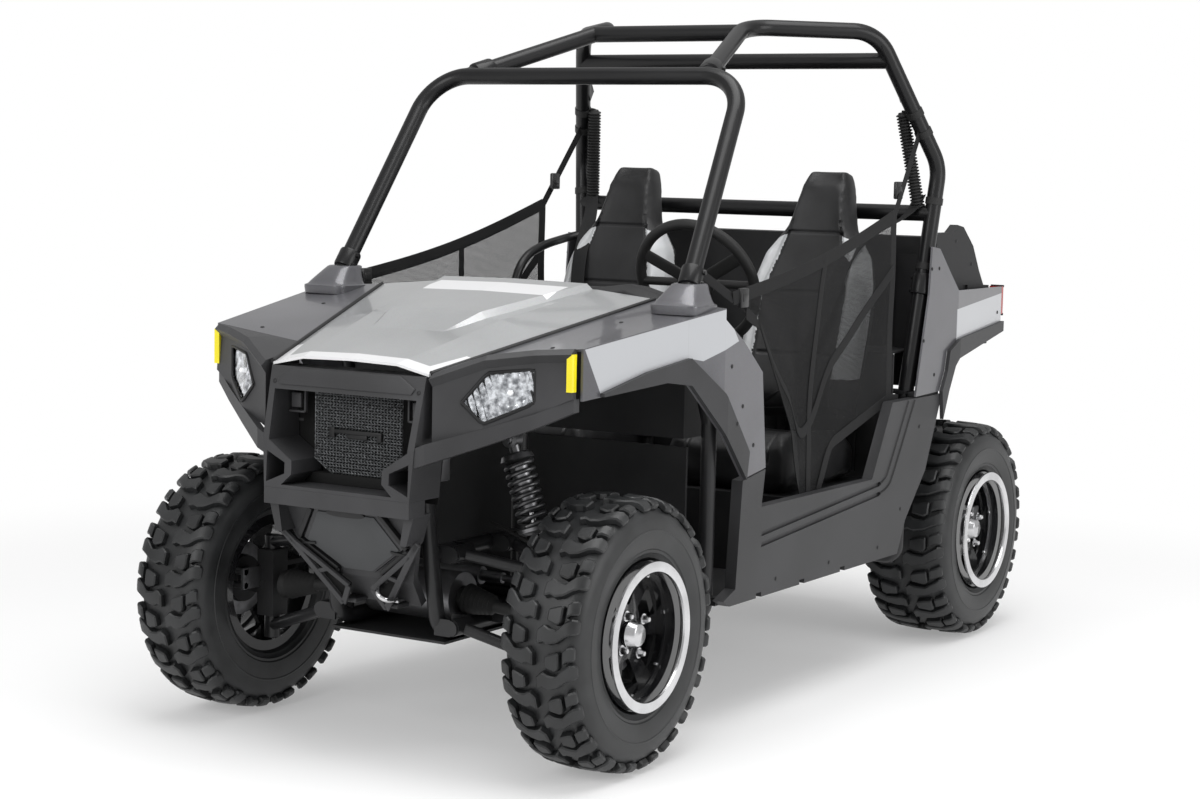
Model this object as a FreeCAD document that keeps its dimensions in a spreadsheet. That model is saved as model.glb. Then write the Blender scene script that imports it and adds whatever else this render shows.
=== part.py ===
import FreeCAD, Part
import math
import os
import re
import Sketcher

# Side by side utility vehicle, two seats, parked on its four wheels.
# Frame: +X forward, +Y to the driver's side, +Z up, origin on the floor under the middle.
# All lengths are millimetres and all angles degrees.

V = FreeCAD.Vector

sizes = {
    # Stance: axles, tyres and rims
    "front_axle_x": 974,
    "wheelbase": 1956,
    "front_track": 1067,
    "rear_track": 1016,
    "tyre_radius": 317.5,
    "front_tyre_width": 203,
    "rear_tyre_width": 254,
    "tyre_bulge_drop": 58,
    "tyre_crown_inset": 30,
    "lug_height": 12,
    "lug_count": 19,
    "lug_depth": 42,
    "lug_half": 15,
    "lug_sweep": 18,
    "lug_middle": 5,
    "lug_end_inset": 2,
    "rim_seat_radius": 152.5,
    "rim_lip_radius": 171,
    "rim_lip_thick": 10.5,
    "rim_wall": 6,
    "front_rim_width": 152,
    "rear_rim_width": 203,
    "disc_inset": 52,
    "disc_thick": 14,
    "spoke_count": 7,
    "window_inner": 66,
    "window_outer": 138,
    "window_inner_half": 12,
    "window_outer_half": 40,
    "cap_radius": 30,
    "cap_taper": 6,
    "cap_height": 20,
    "seat_gap": 0.3,
    "run_gap": 0.5,
    "move_gap": 6,
    # Steering knuckles, rear carriers and steering gear
    "kingpin_y": 455,
    "knuckle_half": 28,
    "knuckle_low": 237,
    "knuckle_high": 403,
    "knuckle_depth": 50,
    "spindle_radius": 30,
    "hub_radius": 58,
    "hub_thick": 12,
    "steer_arm_back": 98,
    "steer_arm_thick": 12,
    "steer_arm_width": 26,
    "steer_arm_z": 371,
    "steer_arm_weld": 2,
    "rack_x": 872,
    "rack_radius": 13,
    "rack_half": 170,
    "rod_radius": 8,
    "rod_lap": 20,
    "rod_end_radius": 12,
    "rod_end_height": 26,
    "rod_end_inset": 21,
    "housing_half": 110,
    "housing_wall": 8,
    # Suspension arms, shocks and half shafts
    "arm_tube_radius": 14,
    "arm_spread": 105,
    "arm_barrel_half": 31,
    "arm_barrel_radius": 20,
    "brace_radius": 11,
    "pivot_y": 190,
    "front_low_pivot_z": 303,
    "front_high_pivot_z": 474,
    "rear_low_pivot_z": 300,
    "rear_high_pivot_z": 440,
    "carrier_y": 420,
    "ball_radius": 19,
    "low_ball_height": 56,
    "high_ball_height": 34,
    "shock_rod_radius": 13,
    "shock_eye_radius": 19.5,
    "shock_sleeve_radius": 33,
    "shock_seat_radius": 40,
    "shock_seat_thick": 12,
    "shock_foot_reach": 62,
    "shock_top_reach": 42,
    "front_shock_top_y": 258,
    "front_shock_top_z": 735,
    "front_shock_foot_y": 345,
    "rear_shock_top_y": 262,
    "rear_shock_top_z": 770,
    "rear_shock_foot_y": 330,
    "shaft_radius": 14,
    "boot_radius": 36,
    "boot_neck": 2,
    "boot_length": 75,
    "boot_inner_lap": 30,
    "final_drive_radius": 60,
    "final_drive_rise": 62.5,
    # Welded frame
    "frame_tube_radius": 19,
    "rail_y": 145,
    "rail_z": 285,
    "frame_front_x": 1100,
    "frame_rear_x": -1150,
    "frame_top_z": 742,
    "nose_top_x": 1180,
    "nose_rear_x": 770,
    "bay_half": 205,
    "bed_front_x": -720,
    "bed_frame_z": 838,
    "rear_top_drop": 68,
    "frame_bend": 60,
    "tower_bend": 35,
    "tower_x": 545,
    "tower_y": 540,
    "tower_bend_z": 760,
    "foot_half": 32,
    "foot_plate": 8,
    "bracket_thick": 6,
    "bracket_half": 20,
    "bracket_radius": 18,
    "front_tab_z": 316,
    "rear_tab_z": 520,
    "rocker_tab_half": 12,
    "rocker_tab_height": 20,
    "tow_reach": 70,
    "tow_thick": 8,
    "tow_hole_radius": 9.5,
    "tow_hole_inset": 22,
    "skid_thick": 6,
    # Roll cage
    "cage_tube_radius": 22.25,
    "cage_bend": 120,
    "hoop_foot_x": 649,
    "hoop_foot_y": 521,
    "hoop_foot_z": 1046,
    "hoop_top_x": 289,
    "hoop_top_y": 473,
    "hoop_top_z": 1598,
    "rail_start_y": 365,
    "waist_x": -187,
    "waist_y": 210,
    "roof_z": 1750,
    "rear_corner_x": -462,
    "rear_corner_y": 478,
    "knee_x": -655,
    "knee_y": 592,
    "knee_z": 1385,
    "leg_foot_x": -630,
    "leg_foot_y": 570,
    "leg_foot_z": 1110,
    "leg_base_x": -542,
    "leg_base_y": 562,
    "leg_base_z": 760,
    "top_bar_z": 1731,
    "upper_bar_z": 1673,
    "shoulder_bar_z": 1254,
    # Hood and front fenders
    "panel_thick": 6,
    "panel_gap": 4,
    "cut_reach": 100,
    "hood_front_x": 1256,
    "hood_front_half": 222,
    "hood_front_z": 902,
    "hood_front_crown": 22,
    "hood_mid_x": 925,
    "hood_mid_crown": 34,
    "hood_rear_x": 594,
    "hood_rear_half": 409,
    "hood_rear_z": 1052,
    "hood_rear_crown": 18,
    "hood_flat": 0.6,
    "hood_shoulder": 0.85,
    "bulge_front_x": 1040,
    "bulge_front_half": 120,
    "bulge_mid_half": 150,
    "bulge_rear_half": 235,
    "bulge_rise": 14,
    "bulge_ramp": 20,
    "bulge_bury": 3,
    "fender_front_x": 1100,
    "fender_front_y": 527,
    "fender_front_z": 968,
    "fender_rear_y": 606,
    "fender_rear_z": 1040,
    "fender_side_low": 851,
    "door_edge_x": 372,
    "door_edge_mid_x": 401,
    "door_edge_mid_z": 876,
    "door_edge_top_x": 501,
    "door_edge_top_z": 957,
    "door_edge_high_z": 1013,
    "skin_joint_z": 638,
    "boot_half": 68,
    "boot_rise": 56,
    "boot_top_back": 80,
    "boot_top_front": 10,
    "boot_top_in": 40,
    "boot_top_out": 32,
    # Front wheel arch: its edge, and the flare's outer edge
    "arch_low_x": 489,
    "arch_low_z": 621,
    "arch_fall_x": 611,
    "arch_fall_z": 752,
    "arch_turn_x": 731,
    "arch_turn_z": 865,
    "arch_top_x": 820,
    "arch_top_z": 877,
    "flare_low_x": 477,
    "flare_low_z": 688,
    "flare_fall_x": 601,
    "flare_fall_z": 838,
    "flare_turn_x": 734,
    "flare_turn_z": 929,
    "flare_top_x": 886,
    "flare_top_z": 905,
    "flare_front_x": 1041,
    "flare_front_z": 866,
    "flare_out": 11,
    "flare_lap": 8,
    # Fascia: prow round the grille, jaw strips under the lamp pods
    "prow_top_x": 1262,
    "prow_top_half": 220,
    "prow_corner_x": 1299,
    "prow_corner_half": 215,
    "prow_corner_z": 733,
    "prow_end_x": 1304,
    "prow_end_half": 207,
    "prow_end_z": 618,
    "prow_depth": 72,
    "grille_top_half": 202,
    "grille_top_z": 843,
    "grille_side_half": 197,
    "grille_side_z": 727,
    "grille_waist_half": 129,
    "grille_waist_z": 683,
    "grille_pinch_z": 652,
    "grille_low_half": 158,
    "grille_low_z": 626,
    "window_out_half": 202,
    "window_high_z": 702,
    "window_in_half": 149,
    "window_waist_z": 678,
    "window_pinch_z": 652,
    "window_foot_z": 630,
    "jaw_thick": 22,
    "jaw_root_half": 200,
    "jaw_root_low_z": 690,
    "jaw_root_top_z": 733,
    "jaw_in_x": 1292,
    "jaw_in_low_z": 704,
    "jaw_in_top_z": 750,
    "jaw_low_x": 1222,
    "jaw_low_low_z": 747,
    "jaw_low_top_z": 786.5,
    "jaw_mid_x": 1159,
    "jaw_mid_low_z": 789,
    "jaw_mid_top_z": 822,
    "jaw_out_x": 1112,
    "jaw_out_low_z": 826,
    "jaw_out_top_z": 856,
    "ledge_in_y": 130,
    "ledge_out_y": 212,
    "prow_ledge_x": 1250,
    "ledge_rear_x": 1080,
    "screen_thick": 4,
    "screen_set": 40,
    "screen_slot": 22,
    "screen_bar": 8,
    "screen_slot_half": 160,
    "screen_rows": 4,
    # Bumper bar, nose shield and its struts
    "bar_top_x": 1304,
    "bar_low_z": 580,
    "bar_depth": 60,
    "shield_top_x": 1262,
    "nose_low_x": 1196,
    "nose_low_z": 416,
    "nose_tip_x": 1126,
    "nose_tip_z": 348,
    "nose_thick": 12,
    "nose_side_half": 185,
    "nose_side_z": 527,
    "nose_tip_half": 116,
    "hex_top_half": 87,
    "hex_top_z": 577,
    "hex_mid_half": 142,
    "hex_mid_z": 498,
    "hex_low_half": 43,
    "hex_low_z": 432,
    "hex_proud": 8,
    "cheek_in_half": 181,
    "cheek_low_half": 188,
    "cheek_low_z": 520,
    "cheek_back_x": 1222,
    "cheek_front_x": 1285,
    "strut_lap": 12,
    # Lamp pods and lamps
    "pod_in_y": 238,
    "pod_in_x": 1264,
    "pod_in_top_z": 905,
    "pod_low_x": 1222,
    "pod_low_y": 344,
    "pod_low_top_z": 950,
    "pod_mid_x": 1152,
    "pod_mid_y": 440,
    "pod_mid_top_z": 964,
    "pod_end_x": 1120,
    "pod_end_y": 512,
    "pod_end_top_z": 968,
    "pod_lean": 18,
    "visor_out": 16,
    "visor_drop": 30,
    "visor_rise": 12,
    "lens_in_y": 296,
    "lens_in_x": 1236,
    "lens_in_z": 843,
    "lens_out_y": 436,
    "lens_out_x": 1150,
    "lens_out_low_z": 843,
    "lens_out_top_z": 922,
    "lens_rim": 10,
    "lens_tip": 6,
    "lens_deep": 12,
    "lens_set": 4,
    "marker_y": 500,
    "marker_back": 1108,
    "marker_front": 1126,
    "marker_low_z": 872,
    "marker_top_z": 956,
    "marker_proud": 3,
    # Sides below the doors
    "body_y": 606,
    "rocker_skin": 30,
    "sill_top_z": 542,
    "sill_front_x": 388,
    "sill_rear_x": -250,
    "rocker_low_z": 316,
    "rocker_front_x": 512,
    "rocker_front_z": 354,
    "rocker_nose_x": 572,
    "rocker_nose_rise": 16,
    "rocker_heel_x": 540,
    "rocker_tail_x": -429,
    "groove_front_x": 383,
    "groove_rear_x": -300,
    "groove_front_z": 441,
    "groove_rise": 51,
    "groove_pitch": 27,
    "groove_tall": 12,
    "groove_deep": 6,
    "notch_front_x": 390,
    "notch_pitch": 236,
    "notch_half": 14,
    "notch_deep": 12,
    "pillar_in_x": -367,
    "pillar_out_x": -700,
    "pillar_z": 742,
    "pillar_mid_x": -601,
    "pillar_mid_z": 532,
    "pillar_low_x": -475,
    "pillar_low_z": 405,
    # Rear fenders and tail lamps
    "panel_foot_x": -518,
    "panel_waist_x": -589,
    "panel_waist_z": 1026,
    "panel_top_x": -600,
    "panel_top_z": 1162,
    "panel_crest_x": -652,
    "panel_crest_z": 1156,
    "panel_fall_x": -734,
    "panel_fall_z": 1085,
    "notch_x": -797,
    "notch_z": 1033,
    "panel_heel_x": -679,
    "panel_heel_z": 751,
    "panel_back_x": -712,
    "panel_back_z": 807,
    "panel_lip_x": -726,
    "panel_lip_z": 863,
    "wing_low_z": 885,
    "tail_x": -1240,
    "tail_y": 558,
    "tail_top_z": 1027,
    "tail_low_z": 914,
    "rear_arch_low_x": -691,
    "rear_arch_low_z": 670,
    "rear_arch_mid_x": -727,
    "rear_arch_mid_z": 748,
    "rear_arch_top_x": -769,
    "rear_arch_top_z": 818,
    "rear_arch_end_z": 838,
    "tail_flare_low_z": 892,
    "lamp_deep": 14,
    "lamp_tall": 84,
    "lamp_wide": 40,
    # Cargo box
    "box_front_x": -700,
    "box_rear_x": -1160,
    "box_wall": 24,
    "box_floor_thick": 20,
    "box_front_z": 1185,
    "box_step_x": -795,
    "box_step_z": 1196,
    "box_rise_x": -865,
    "box_hump_x": -905,
    "box_hump_z": 1218,
    "box_crest_x": -952,
    "box_crest_z": 1211,
    "box_turn_x": -1029,
    "box_turn_z": 1154,
    "box_fall_x": -1080,
    "box_fall_z": 1080,
    "box_tail_x": -1119,
    "box_tail_z": 1034,
    "box_rib_deep": 7,
    "box_rib_wide": 34,
    "box_rib_x": -830,
    "box_rib_pitch": 150,
    "box_rib_low_z": 920,
    "box_rib_top_z": 1040,
    # Cab
    "floor_thick": 8,
    "floor_half": 504,
    "firewall_x": 590,
    "firewall_top_z": 700,
    "floor_rear_x": -420,
    "dash_rear_x": 430,
    "dash_top_z": 1044,
    "dash_brow": 60,
    "dash_fall": 70,
    "dash_edge": 10,
    "dash_knee": 90,
    "dash_low_z": 720,
    "dash_half": 497,
    "seat_y": 318,
    "seat_half": 205,
    "seat_front_x": 70,
    "seat_rear_x": -400,
    "seat_low_z": 520,
    "seat_top_z": 690,
    "seat_front_drop": 30,
    "cushion_toe": 40,
    "cushion_heel_drop": 25,
    "seat_back_thick": 92,
    "seat_bolster": 34,
    "back_low_x": -330,
    "back_waist_x": -400,
    "back_waist_z": 900,
    "shoulder_x": -470,
    "shoulder_z": 1130,
    "shoulder_half": 198,
    "neck_x": -497,
    "neck_z": 1215,
    "neck_half": 110,
    "headrest_x": -540,
    "headrest_z": 1392,
    "headrest_half": 58,
    "headrest_thick": 70,
    "wheel_hand_x": 225,
    "wheel_hand_z": 1075,
    "wheel_hand_radius": 165,
    "wheel_grip_radius": 14,
    "wheel_hub_radius": 42,
    "wheel_hub_front": 10,
    "wheel_hub_deep": 40,
    "wheel_spoke_radius": 11,
    "column_tilt": 24,
    "column_radius": 22,
    "column_length": 262,
    "net_thick": 4,
    "net_tip_x": 505,
    "net_tip_z": 1058,
    "net_front_x": 366,
    "net_front_z": 990,
    "net_low_x": 157,
    "net_low_z": 685,
    "net_foot_x": 120,
    "net_foot_z": 520,
    "net_heel_x": 20,
    "net_back_x": -48,
    "net_back_z": 654,
    "net_leg_x": -395,
    "net_leg_z": 745,
    "net_rear_x": -406,
    "net_rear_z": 1249,
    # Engine, radiator and exhaust
    "engine_front_x": -470,
    "engine_rear_x": -850,
    "engine_low_z": 306,
    "engine_top_z": 700,
    "radiator_depth": 40,
    "radiator_low_z": 655,
    "radiator_high_z": 850,
    "muffler_z": 650,
    "muffler_radius": 75,
    "muffler_half": 210,
}

doc = FreeCAD.newDocument("SideBySide")
sheet = doc.addObject("Spreadsheet::Sheet", "Sizes")
for row, (alias, number) in enumerate(sizes.items(), start=1):
    sheet.set(f"A{row}", alias)
    sheet.set(f"B{row}", str(number))
    sheet.setAlias(f"B{row}", alias)
doc.recompute()

nodes = {}


def size(alias):
    """Read one driving size from the sheet."""
    return float(sheet.get(alias))


def read(formula):
    """Turn a formula of size names into one that reads the sheet."""
    return re.sub(
        r"[a-z]\w*",
        lambda word: "Sizes." + word.group() if word.group() in sizes else word.group(),
        str(formula),
    )


def keep(name, thing):
    """Name a finished sub-part."""
    thing.Label = name
    nodes[name] = thing
    return thing


# Sketch plane across each axis, sign of its offset, and whether its normal runs backwards
PLANES = {"x": ("YZ_Plane", "", False), "y": ("XZ_Plane", "-", True), "z": ("XY_Plane", "", False)}


def body(name):
    """Start a body whose origin can be moved by its Placement."""
    made = doc.addObject("PartDesign::Body", name)
    made.AllowCompound = True
    return made


def origin_part(owner, role):
    """Find an origin plane or axis of a body."""
    return [part for part in owner.Origin.OriginFeatures if part.Role == role][0]


def outline(owner, axis, level, points):
    """Draw a closed outline across an axis, each corner bound to two formulas."""
    role, sign, _ = PLANES[axis]
    sketch = owner.newObject("Sketcher::SketchObject", "Outline")
    sketch.AttachmentSupport = (origin_part(owner, role), "")
    sketch.MapMode = "FlatFace"
    sketch.setExpression(".AttachmentOffset.Base.z", read(f"{sign}({level})"))
    total = len(points)
    ring = []
    for i in range(total):
        turn = math.radians(360 / total * i + 7)
        ring.append(V(500 * math.cos(turn), 500 * math.sin(turn), 0))
    for i in range(total):
        sketch.addGeometry(Part.LineSegment(ring[i], ring[(i + 1) % total]), False)
    for i in range(total):
        sketch.addConstraint(Sketcher.Constraint("Coincident", i, 2, (i + 1) % total, 1))
    for i, (across, up) in enumerate(points):
        for kind, formula, seed in (("DistanceX", across, ring[i].x), ("DistanceY", up, ring[i].y)):
            number = sketch.addConstraint(Sketcher.Constraint(kind, -1, 1, i, 1, seed))
            sketch.setExpression(f"Constraints[{number}]", read(formula))
    return sketch


def pad(owner, axis, low, high, points):
    """Raise an outline from one level to a higher one along an axis."""
    made = owner.newObject("PartDesign::Pad", "Pad")
    made.Profile = outline(owner, axis, low, points)
    made.setExpression("Length", read(f"({high}) - ({low})"))
    made.Reversed = PLANES[axis][2]
    owner.Tip = made
    return made


def pocket(owner, axis, low, high, points):
    """Cut an outline out of a body between two levels along an axis."""
    made = owner.newObject("PartDesign::Pocket", "Pocket")
    made.Profile = outline(owner, axis, low, points)
    made.setExpression("Length", read(f"({high}) - ({low})"))
    made.Reversed = not PLANES[axis][2]
    owner.Tip = made
    return made


def loft(owner, axis, stations):
    """Join outlines at several levels along an axis by straight lines."""
    sketches = [outline(owner, axis, level, points) for level, points in stations]
    made = owner.newObject("PartDesign::AdditiveLoft", "Loft")
    made.Profile = sketches[0]
    made.Sections = [(sketch, [""]) for sketch in sketches[1:]]
    made.Ruled = True
    owner.Tip = made
    return made


def revolve(owner, points):
    """Turn an outline of (radius, along) about the body's own Y axis."""
    made = owner.newObject("PartDesign::Revolution", "Turned")
    made.Profile = outline(owner, "z", "0", points)
    made.ReferenceAxis = (origin_part(owner, "Y_Axis"), [""])
    made.Angle = 360
    owner.Tip = made
    return made


def place(thing, along, across, up):
    """Put a sub-part's own origin at three formulas."""
    for letter, formula in zip("xyz", (along, across, up)):
        thing.setExpression(f".Placement.Base.{letter}", read(formula))


def mirrored(name, source):
    """Mirror a left sub-part to the right side."""
    made = doc.addObject("Part::Mirroring", name)
    made.Source = source
    made.Normal = V(0, 1, 0)
    made.Base = V(0, 0, 0)
    return made


def group(name, *things):
    """Hold several solids that don't touch as one sub-part."""
    made = doc.addObject("Part::Compound", name)
    made.Links = list(things)
    return made


def both(name, source):
    """Hold a left solid and its mirror image as one sub-part."""
    return group(name, source, mirrored(name + "_far", source))


def fused(name, *things):
    """Weld several solids into one."""
    made = doc.addObject("Part::MultiFuse", name)
    made.Shapes = list(things)
    return made


def less(name, base, *tools):
    """Cut tools out of a solid."""
    for number, tool in enumerate(tools):
        made = doc.addObject("Part::Cut", f"{name}_{number}")
        made.Base = base
        made.Tool = tool
        base = made
    return base


def shared(name, first, second):
    """Keep what two solids have in common."""
    made = doc.addObject("Part::Common", name)
    made.Base = first
    made.Tool = second
    return made


def route(points, bend):
    """Join points by straight runs with a tangent arc of one radius at each corner."""
    edges = []
    last = points[0]
    for before, corner, after in zip(points, points[1:], points[2:]):
        inward = (before - corner).normalize()
        outward = (after - corner).normalize()
        half = inward.getAngle(outward) / 2
        reach = bend / math.tan(half)
        start = corner + inward * reach
        end = corner + outward * reach
        middle = corner + (inward + outward).normalize() * (bend / math.sin(half) - bend)
        edges.append(Part.LineSegment(last, start).toShape())
        edges.append(Part.Arc(start, middle, end).toShape())
        last = end
    edges.append(Part.LineSegment(last, points[-1]).toShape())
    return Part.Wire(edges)


def tube_shape(points, radius, bend):
    """Sweep a round section along a bent route."""
    path = route(points, bend)
    section = Part.Wire(Part.makeCircle(radius, points[0], points[1] - points[0]))
    return path.makePipeShell([section], True, False)


def rod_shape(start, end, radius):
    """Make a straight round bar between two points."""
    return Part.makeCylinder(radius, (end - start).Length, start, end - start)


def solid(name, shape):
    """Hold a shape built from routes in space."""
    made = doc.addObject("Part::Feature", name)
    made.Shape = shape
    made.Placement = FreeCAD.Placement()
    return made


def block(name, low, high):
    """Make a plain box between two corners of formulas."""
    made = doc.addObject("Part::Box", name)
    for side, letter, start, end in zip(("Length", "Width", "Height"), "xyz", low, high):
        made.setExpression(side, read(f"({end}) - ({start})"))
        made.setExpression(f".Placement.Base.{letter}", read(start))
    return made


def flip(points):
    """Mirror an outline of (y, z) corners."""
    return [(f"-({across})", up) for across, up in reversed(points)]


# Wheels: turned rims with windows cut in the disc, and lugged tyres made of flat facets


def rim(name, width):
    """Turned rim with its spoke disc and windows, outer side towards +Y."""
    made = body(name)
    half = f"{width} / 2"
    face = f"({half} + rim_lip_thick - disc_inset)"
    revolve(made, [
        ("rim_seat_radius - rim_wall", f"-({half})"),
        ("rim_lip_radius", f"-({half})"),
        ("rim_lip_radius", f"-({half}) + rim_wall"),
        ("rim_seat_radius", f"-({half}) + rim_wall"),
        ("rim_seat_radius", f"{half}"),
        ("rim_lip_radius", f"{half}"),
        ("rim_lip_radius", f"{half} + rim_lip_thick"),
        ("rim_seat_radius - rim_wall", f"{half} + rim_lip_thick"),
        ("rim_seat_radius - rim_wall", face),
        ("cap_radius", face),
        ("cap_radius - cap_taper", f"{face} + cap_height"),
        ("0", f"{face} + cap_height"),
        ("0", f"{face} - disc_thick"),
        ("rim_seat_radius - rim_wall", f"{face} - disc_thick"),
    ])
    hole = pocket(made, "y", f"{face} - 2 * disc_thick", f"{face} + disc_thick", [
        ("window_inner", "-window_inner_half"),
        ("window_outer", "-window_outer_half"),
        ("window_outer", "window_outer_half"),
        ("window_inner", "window_inner_half"),
    ])
    repeat(made, hole, "Windows", "spoke_count")
    return made


def repeat(owner, feature, name, count):
    """Repeat a feature of a body round its own Y axis."""
    doc.recompute()
    ring = owner.newObject("PartDesign::PolarPattern", name)
    ring.Originals = [feature]
    ring.Axis = (origin_part(owner, "Y_Axis"), [""])
    ring.Angle = 360
    ring.setExpression("Occurrences", read(count))
    owner.Tip = ring


def faceted_ring(profile, count):
    """Closed ring of flat facets about the Y axis, from a closed profile of (radius, offset)."""
    step = 2 * math.pi / count
    turns = [
        [V(radius * math.sin((number - 0.5) * step), offset, -radius * math.cos((number - 0.5) * step))
         for radius, offset in profile]
        for number in range(count)
    ]
    faces = []
    for here, beyond in zip(turns, turns[1:] + turns[:1]):
        for first in range(len(profile)):
            second = (first + 1) % len(profile)
            faces.append(Part.Face(Part.makePolygon(
                [here[first], here[second], beyond[second], beyond[first], here[first]])))
    ring = Part.Solid(Part.makeShell(faces))
    return ring if ring.Volume > 0 else ring.reversed()


def tyre_shape(width, rim_width):
    """Faceted tyre ring with a slanted lug on every facet, in two staggered rows about its own centre."""
    half = size(width) / 2
    radius = size("tyre_radius")
    facets = 2 * int(size("lug_count"))
    spread = 1 / math.cos(math.pi / facets)
    bead = size(rim_width) / 2 - size("seat_gap")
    foot = (size("rim_seat_radius") + size("seat_gap")) * spread
    lip = (size("rim_lip_radius") + 2 * size("seat_gap")) * spread
    bulge = radius - size("tyre_bulge_drop")
    floor = radius - size("lug_height")
    crown = half - size("tyre_crown_inset")
    inner_bead = bead - size("rim_wall")
    ring = faceted_ring([
        (foot, bead), (lip, bead), (bulge, half), (floor, crown),
        (floor, -crown), (bulge, -half), (lip, -inner_bead), (foot, -inner_bead),
    ], facets)
    lean = size("lug_sweep") / 2
    wide = size("lug_half")
    lugs = []
    for number in range(facets):
        side = 1 - 2 * (number % 2)
        near = side * size("lug_middle")
        far = side * (half - size("lug_end_inset"))
        corners = [(-wide - lean, near), (wide - lean, near), (wide + lean, far), (-wide + lean, far)]
        points = [V(across, along, -radius) for across, along in corners]
        lug = Part.Face(Part.makePolygon(points + points[:1])).extrude(V(0, 0, size("lug_depth")))
        lug.rotate(V(0, 0, 0), V(0, 1, 0), 360 / facets * number)
        lugs.append(lug)
    return ring.multiFuse(lugs)


for end, track, axle in (
    ("front", "front_track", "front_axle_x"),
    ("rear", "rear_track", "front_axle_x - wheelbase"),
):
    left_rim = keep(f"rim_{end}_left", rim(f"rim_{end}_left", f"{end}_rim_width"))
    left_tyre = keep(f"tyre_{end}_left", solid(f"tyre_{end}_left", tyre_shape(f"{end}_tyre_width", f"{end}_rim_width")))
    for piece in (left_rim, left_tyre):
        place(piece, axle, f"{track} / 2", "tyre_radius")
    keep(f"rim_{end}_right", mirrored(f"rim_{end}_right", left_rim))
    keep(f"tyre_{end}_right", mirrored(f"tyre_{end}_right", left_tyre))

# Steering knuckle: upright, spindle to the wheel and an arm back to the tie rod


def upright(name, back):
    """Block between the ball joints with its spindle and hub flange, left side."""
    made = body(name)
    pad(made, "z", "knuckle_low - tyre_radius", "knuckle_high - tyre_radius", [
        ("-knuckle_half", "-knuckle_depth / 2"),
        ("knuckle_half", "-knuckle_depth / 2"),
        ("knuckle_half", "knuckle_depth / 2"),
        ("-knuckle_half", "knuckle_depth / 2"),
    ])
    revolve(made, [
        ("0", "0"),
        ("spindle_radius", "0"),
        ("spindle_radius", f"{back} - hub_thick - run_gap"),
        ("hub_radius", f"{back} - hub_thick"),
        ("hub_radius", f"{back} - run_gap"),
        ("0", f"{back} - run_gap"),
    ])
    return made


disc_back = "(front_track / 2 + front_rim_width / 2 + rim_lip_thick - disc_inset - disc_thick - kingpin_y)"
knuckle = upright("knuckle_left", disc_back)
pad(knuckle, "z", "steer_arm_z - tyre_radius - steer_arm_thick", "steer_arm_z - tyre_radius", [
    ("-steer_arm_back - steer_arm_width / 2", "-steer_arm_width"),
    ("-knuckle_half + steer_arm_weld", "-knuckle_depth / 2"),
    ("-knuckle_half + steer_arm_weld", "knuckle_depth / 2 - 2 * steer_arm_weld"),
    ("-steer_arm_back - steer_arm_width / 2", "0"),
])
place(knuckle, "front_axle_x", "kingpin_y", "tyre_radius")
keep("knuckle_left", knuckle)
keep("knuckle_right", mirrored("knuckle_right", knuckle))

# Rack bar with its two tie rods, sliding across, and the housing that guides it

rack_z = size("steer_arm_z") + size("run_gap") + size("rod_end_height") / 2
rod_x = size("front_axle_x") - size("steer_arm_back")
rod_y = size("kingpin_y") - size("rod_end_inset")
bar_end = size("rack_half")


def across_at(x, z, half, radius):
    """Straight round bar or tube across the vehicle."""
    return rod_shape(V(x, -half, z), V(x, half, z), radius)


rack = across_at(size("rack_x"), rack_z, bar_end, size("rack_radius"))
for side in (1, -1):
    rack = rack.fuse(rod_shape(
        V(size("rack_x"), side * (bar_end - size("rod_lap")), rack_z),
        V(rod_x, side * rod_y, rack_z), size("rod_radius")))
    rack = rack.fuse(Part.makeCylinder(
        size("rod_end_radius"), size("rod_end_height"),
        V(rod_x, side * rod_y, size("steer_arm_z") + size("run_gap"))))
keep("steering_rack", solid("steering_rack", rack))

bore_radius = size("rack_radius") + size("run_gap")
housing = across_at(size("rack_x"), rack_z, size("housing_half"), bore_radius + size("housing_wall"))
housing = housing.cut(across_at(size("rack_x"), rack_z, 2 * size("housing_half"), bore_radius))
keep("rack_housing", solid("rack_housing", housing))

# Suspension arms: two tubes from the frame pivots to a ball end at the wheel

front_x = size("front_axle_x")
rear_axle_x = size("front_axle_x") - size("wheelbase")


def wishbone(axle_x, pivot_y, pivot_z, ball_y, ball_z, ball_height, foot_y):
    """Two arm tubes that meet at a ball end, left side."""
    ball = V(axle_x, ball_y, ball_z)
    shape = Part.makeCylinder(size("ball_radius"), ball_height, V(axle_x, ball_y, ball_z - ball_height / 2))
    for way in (1, -1):
        pivot = V(axle_x + way * size("arm_spread"), pivot_y, pivot_z)
        shape = shape.fuse(rod_shape(pivot, ball, size("arm_tube_radius")))
        barrel = V(size("arm_barrel_half"), 0, 0)
        shape = shape.fuse(rod_shape(pivot - barrel, pivot + barrel, size("arm_barrel_radius")))
    share = (foot_y - pivot_y) / (ball_y - pivot_y)
    middle = V(axle_x, pivot_y, pivot_z) * (1 - share) + ball * share
    reach = V(size("arm_spread") * (1 - share), 0, 0)
    return shape.fuse(rod_shape(middle - reach, middle + reach, size("brace_radius")))


low_ball = size("knuckle_low") - size("low_ball_height") / 2 - size("seat_gap")
high_ball = size("knuckle_high") + size("high_ball_height") / 2 + size("seat_gap")


def arm_pair(end, axle_x, ball_y):
    """Lower and upper arms of one axle, both sides."""
    arms = []
    for label, ball_z, height in (
        ("low", low_ball, size("low_ball_height")),
        ("high", high_ball, size("high_ball_height")),
    ):
        arm = wishbone(axle_x, size("pivot_y"), size(f"{end}_{label}_pivot_z"), ball_y, ball_z, height,
                       size(f"{end}_shock_foot_y"))
        arms.append(both(f"{end}_arms_{label}", solid(f"{end}_arm_{label}", arm)))
    return keep(f"{end}_arms", group(f"{end}_arms", *arms))


arm_pair("front", front_x, size("kingpin_y"))

# Rear arms carry an upright with the wheel's spindle on each side

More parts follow.
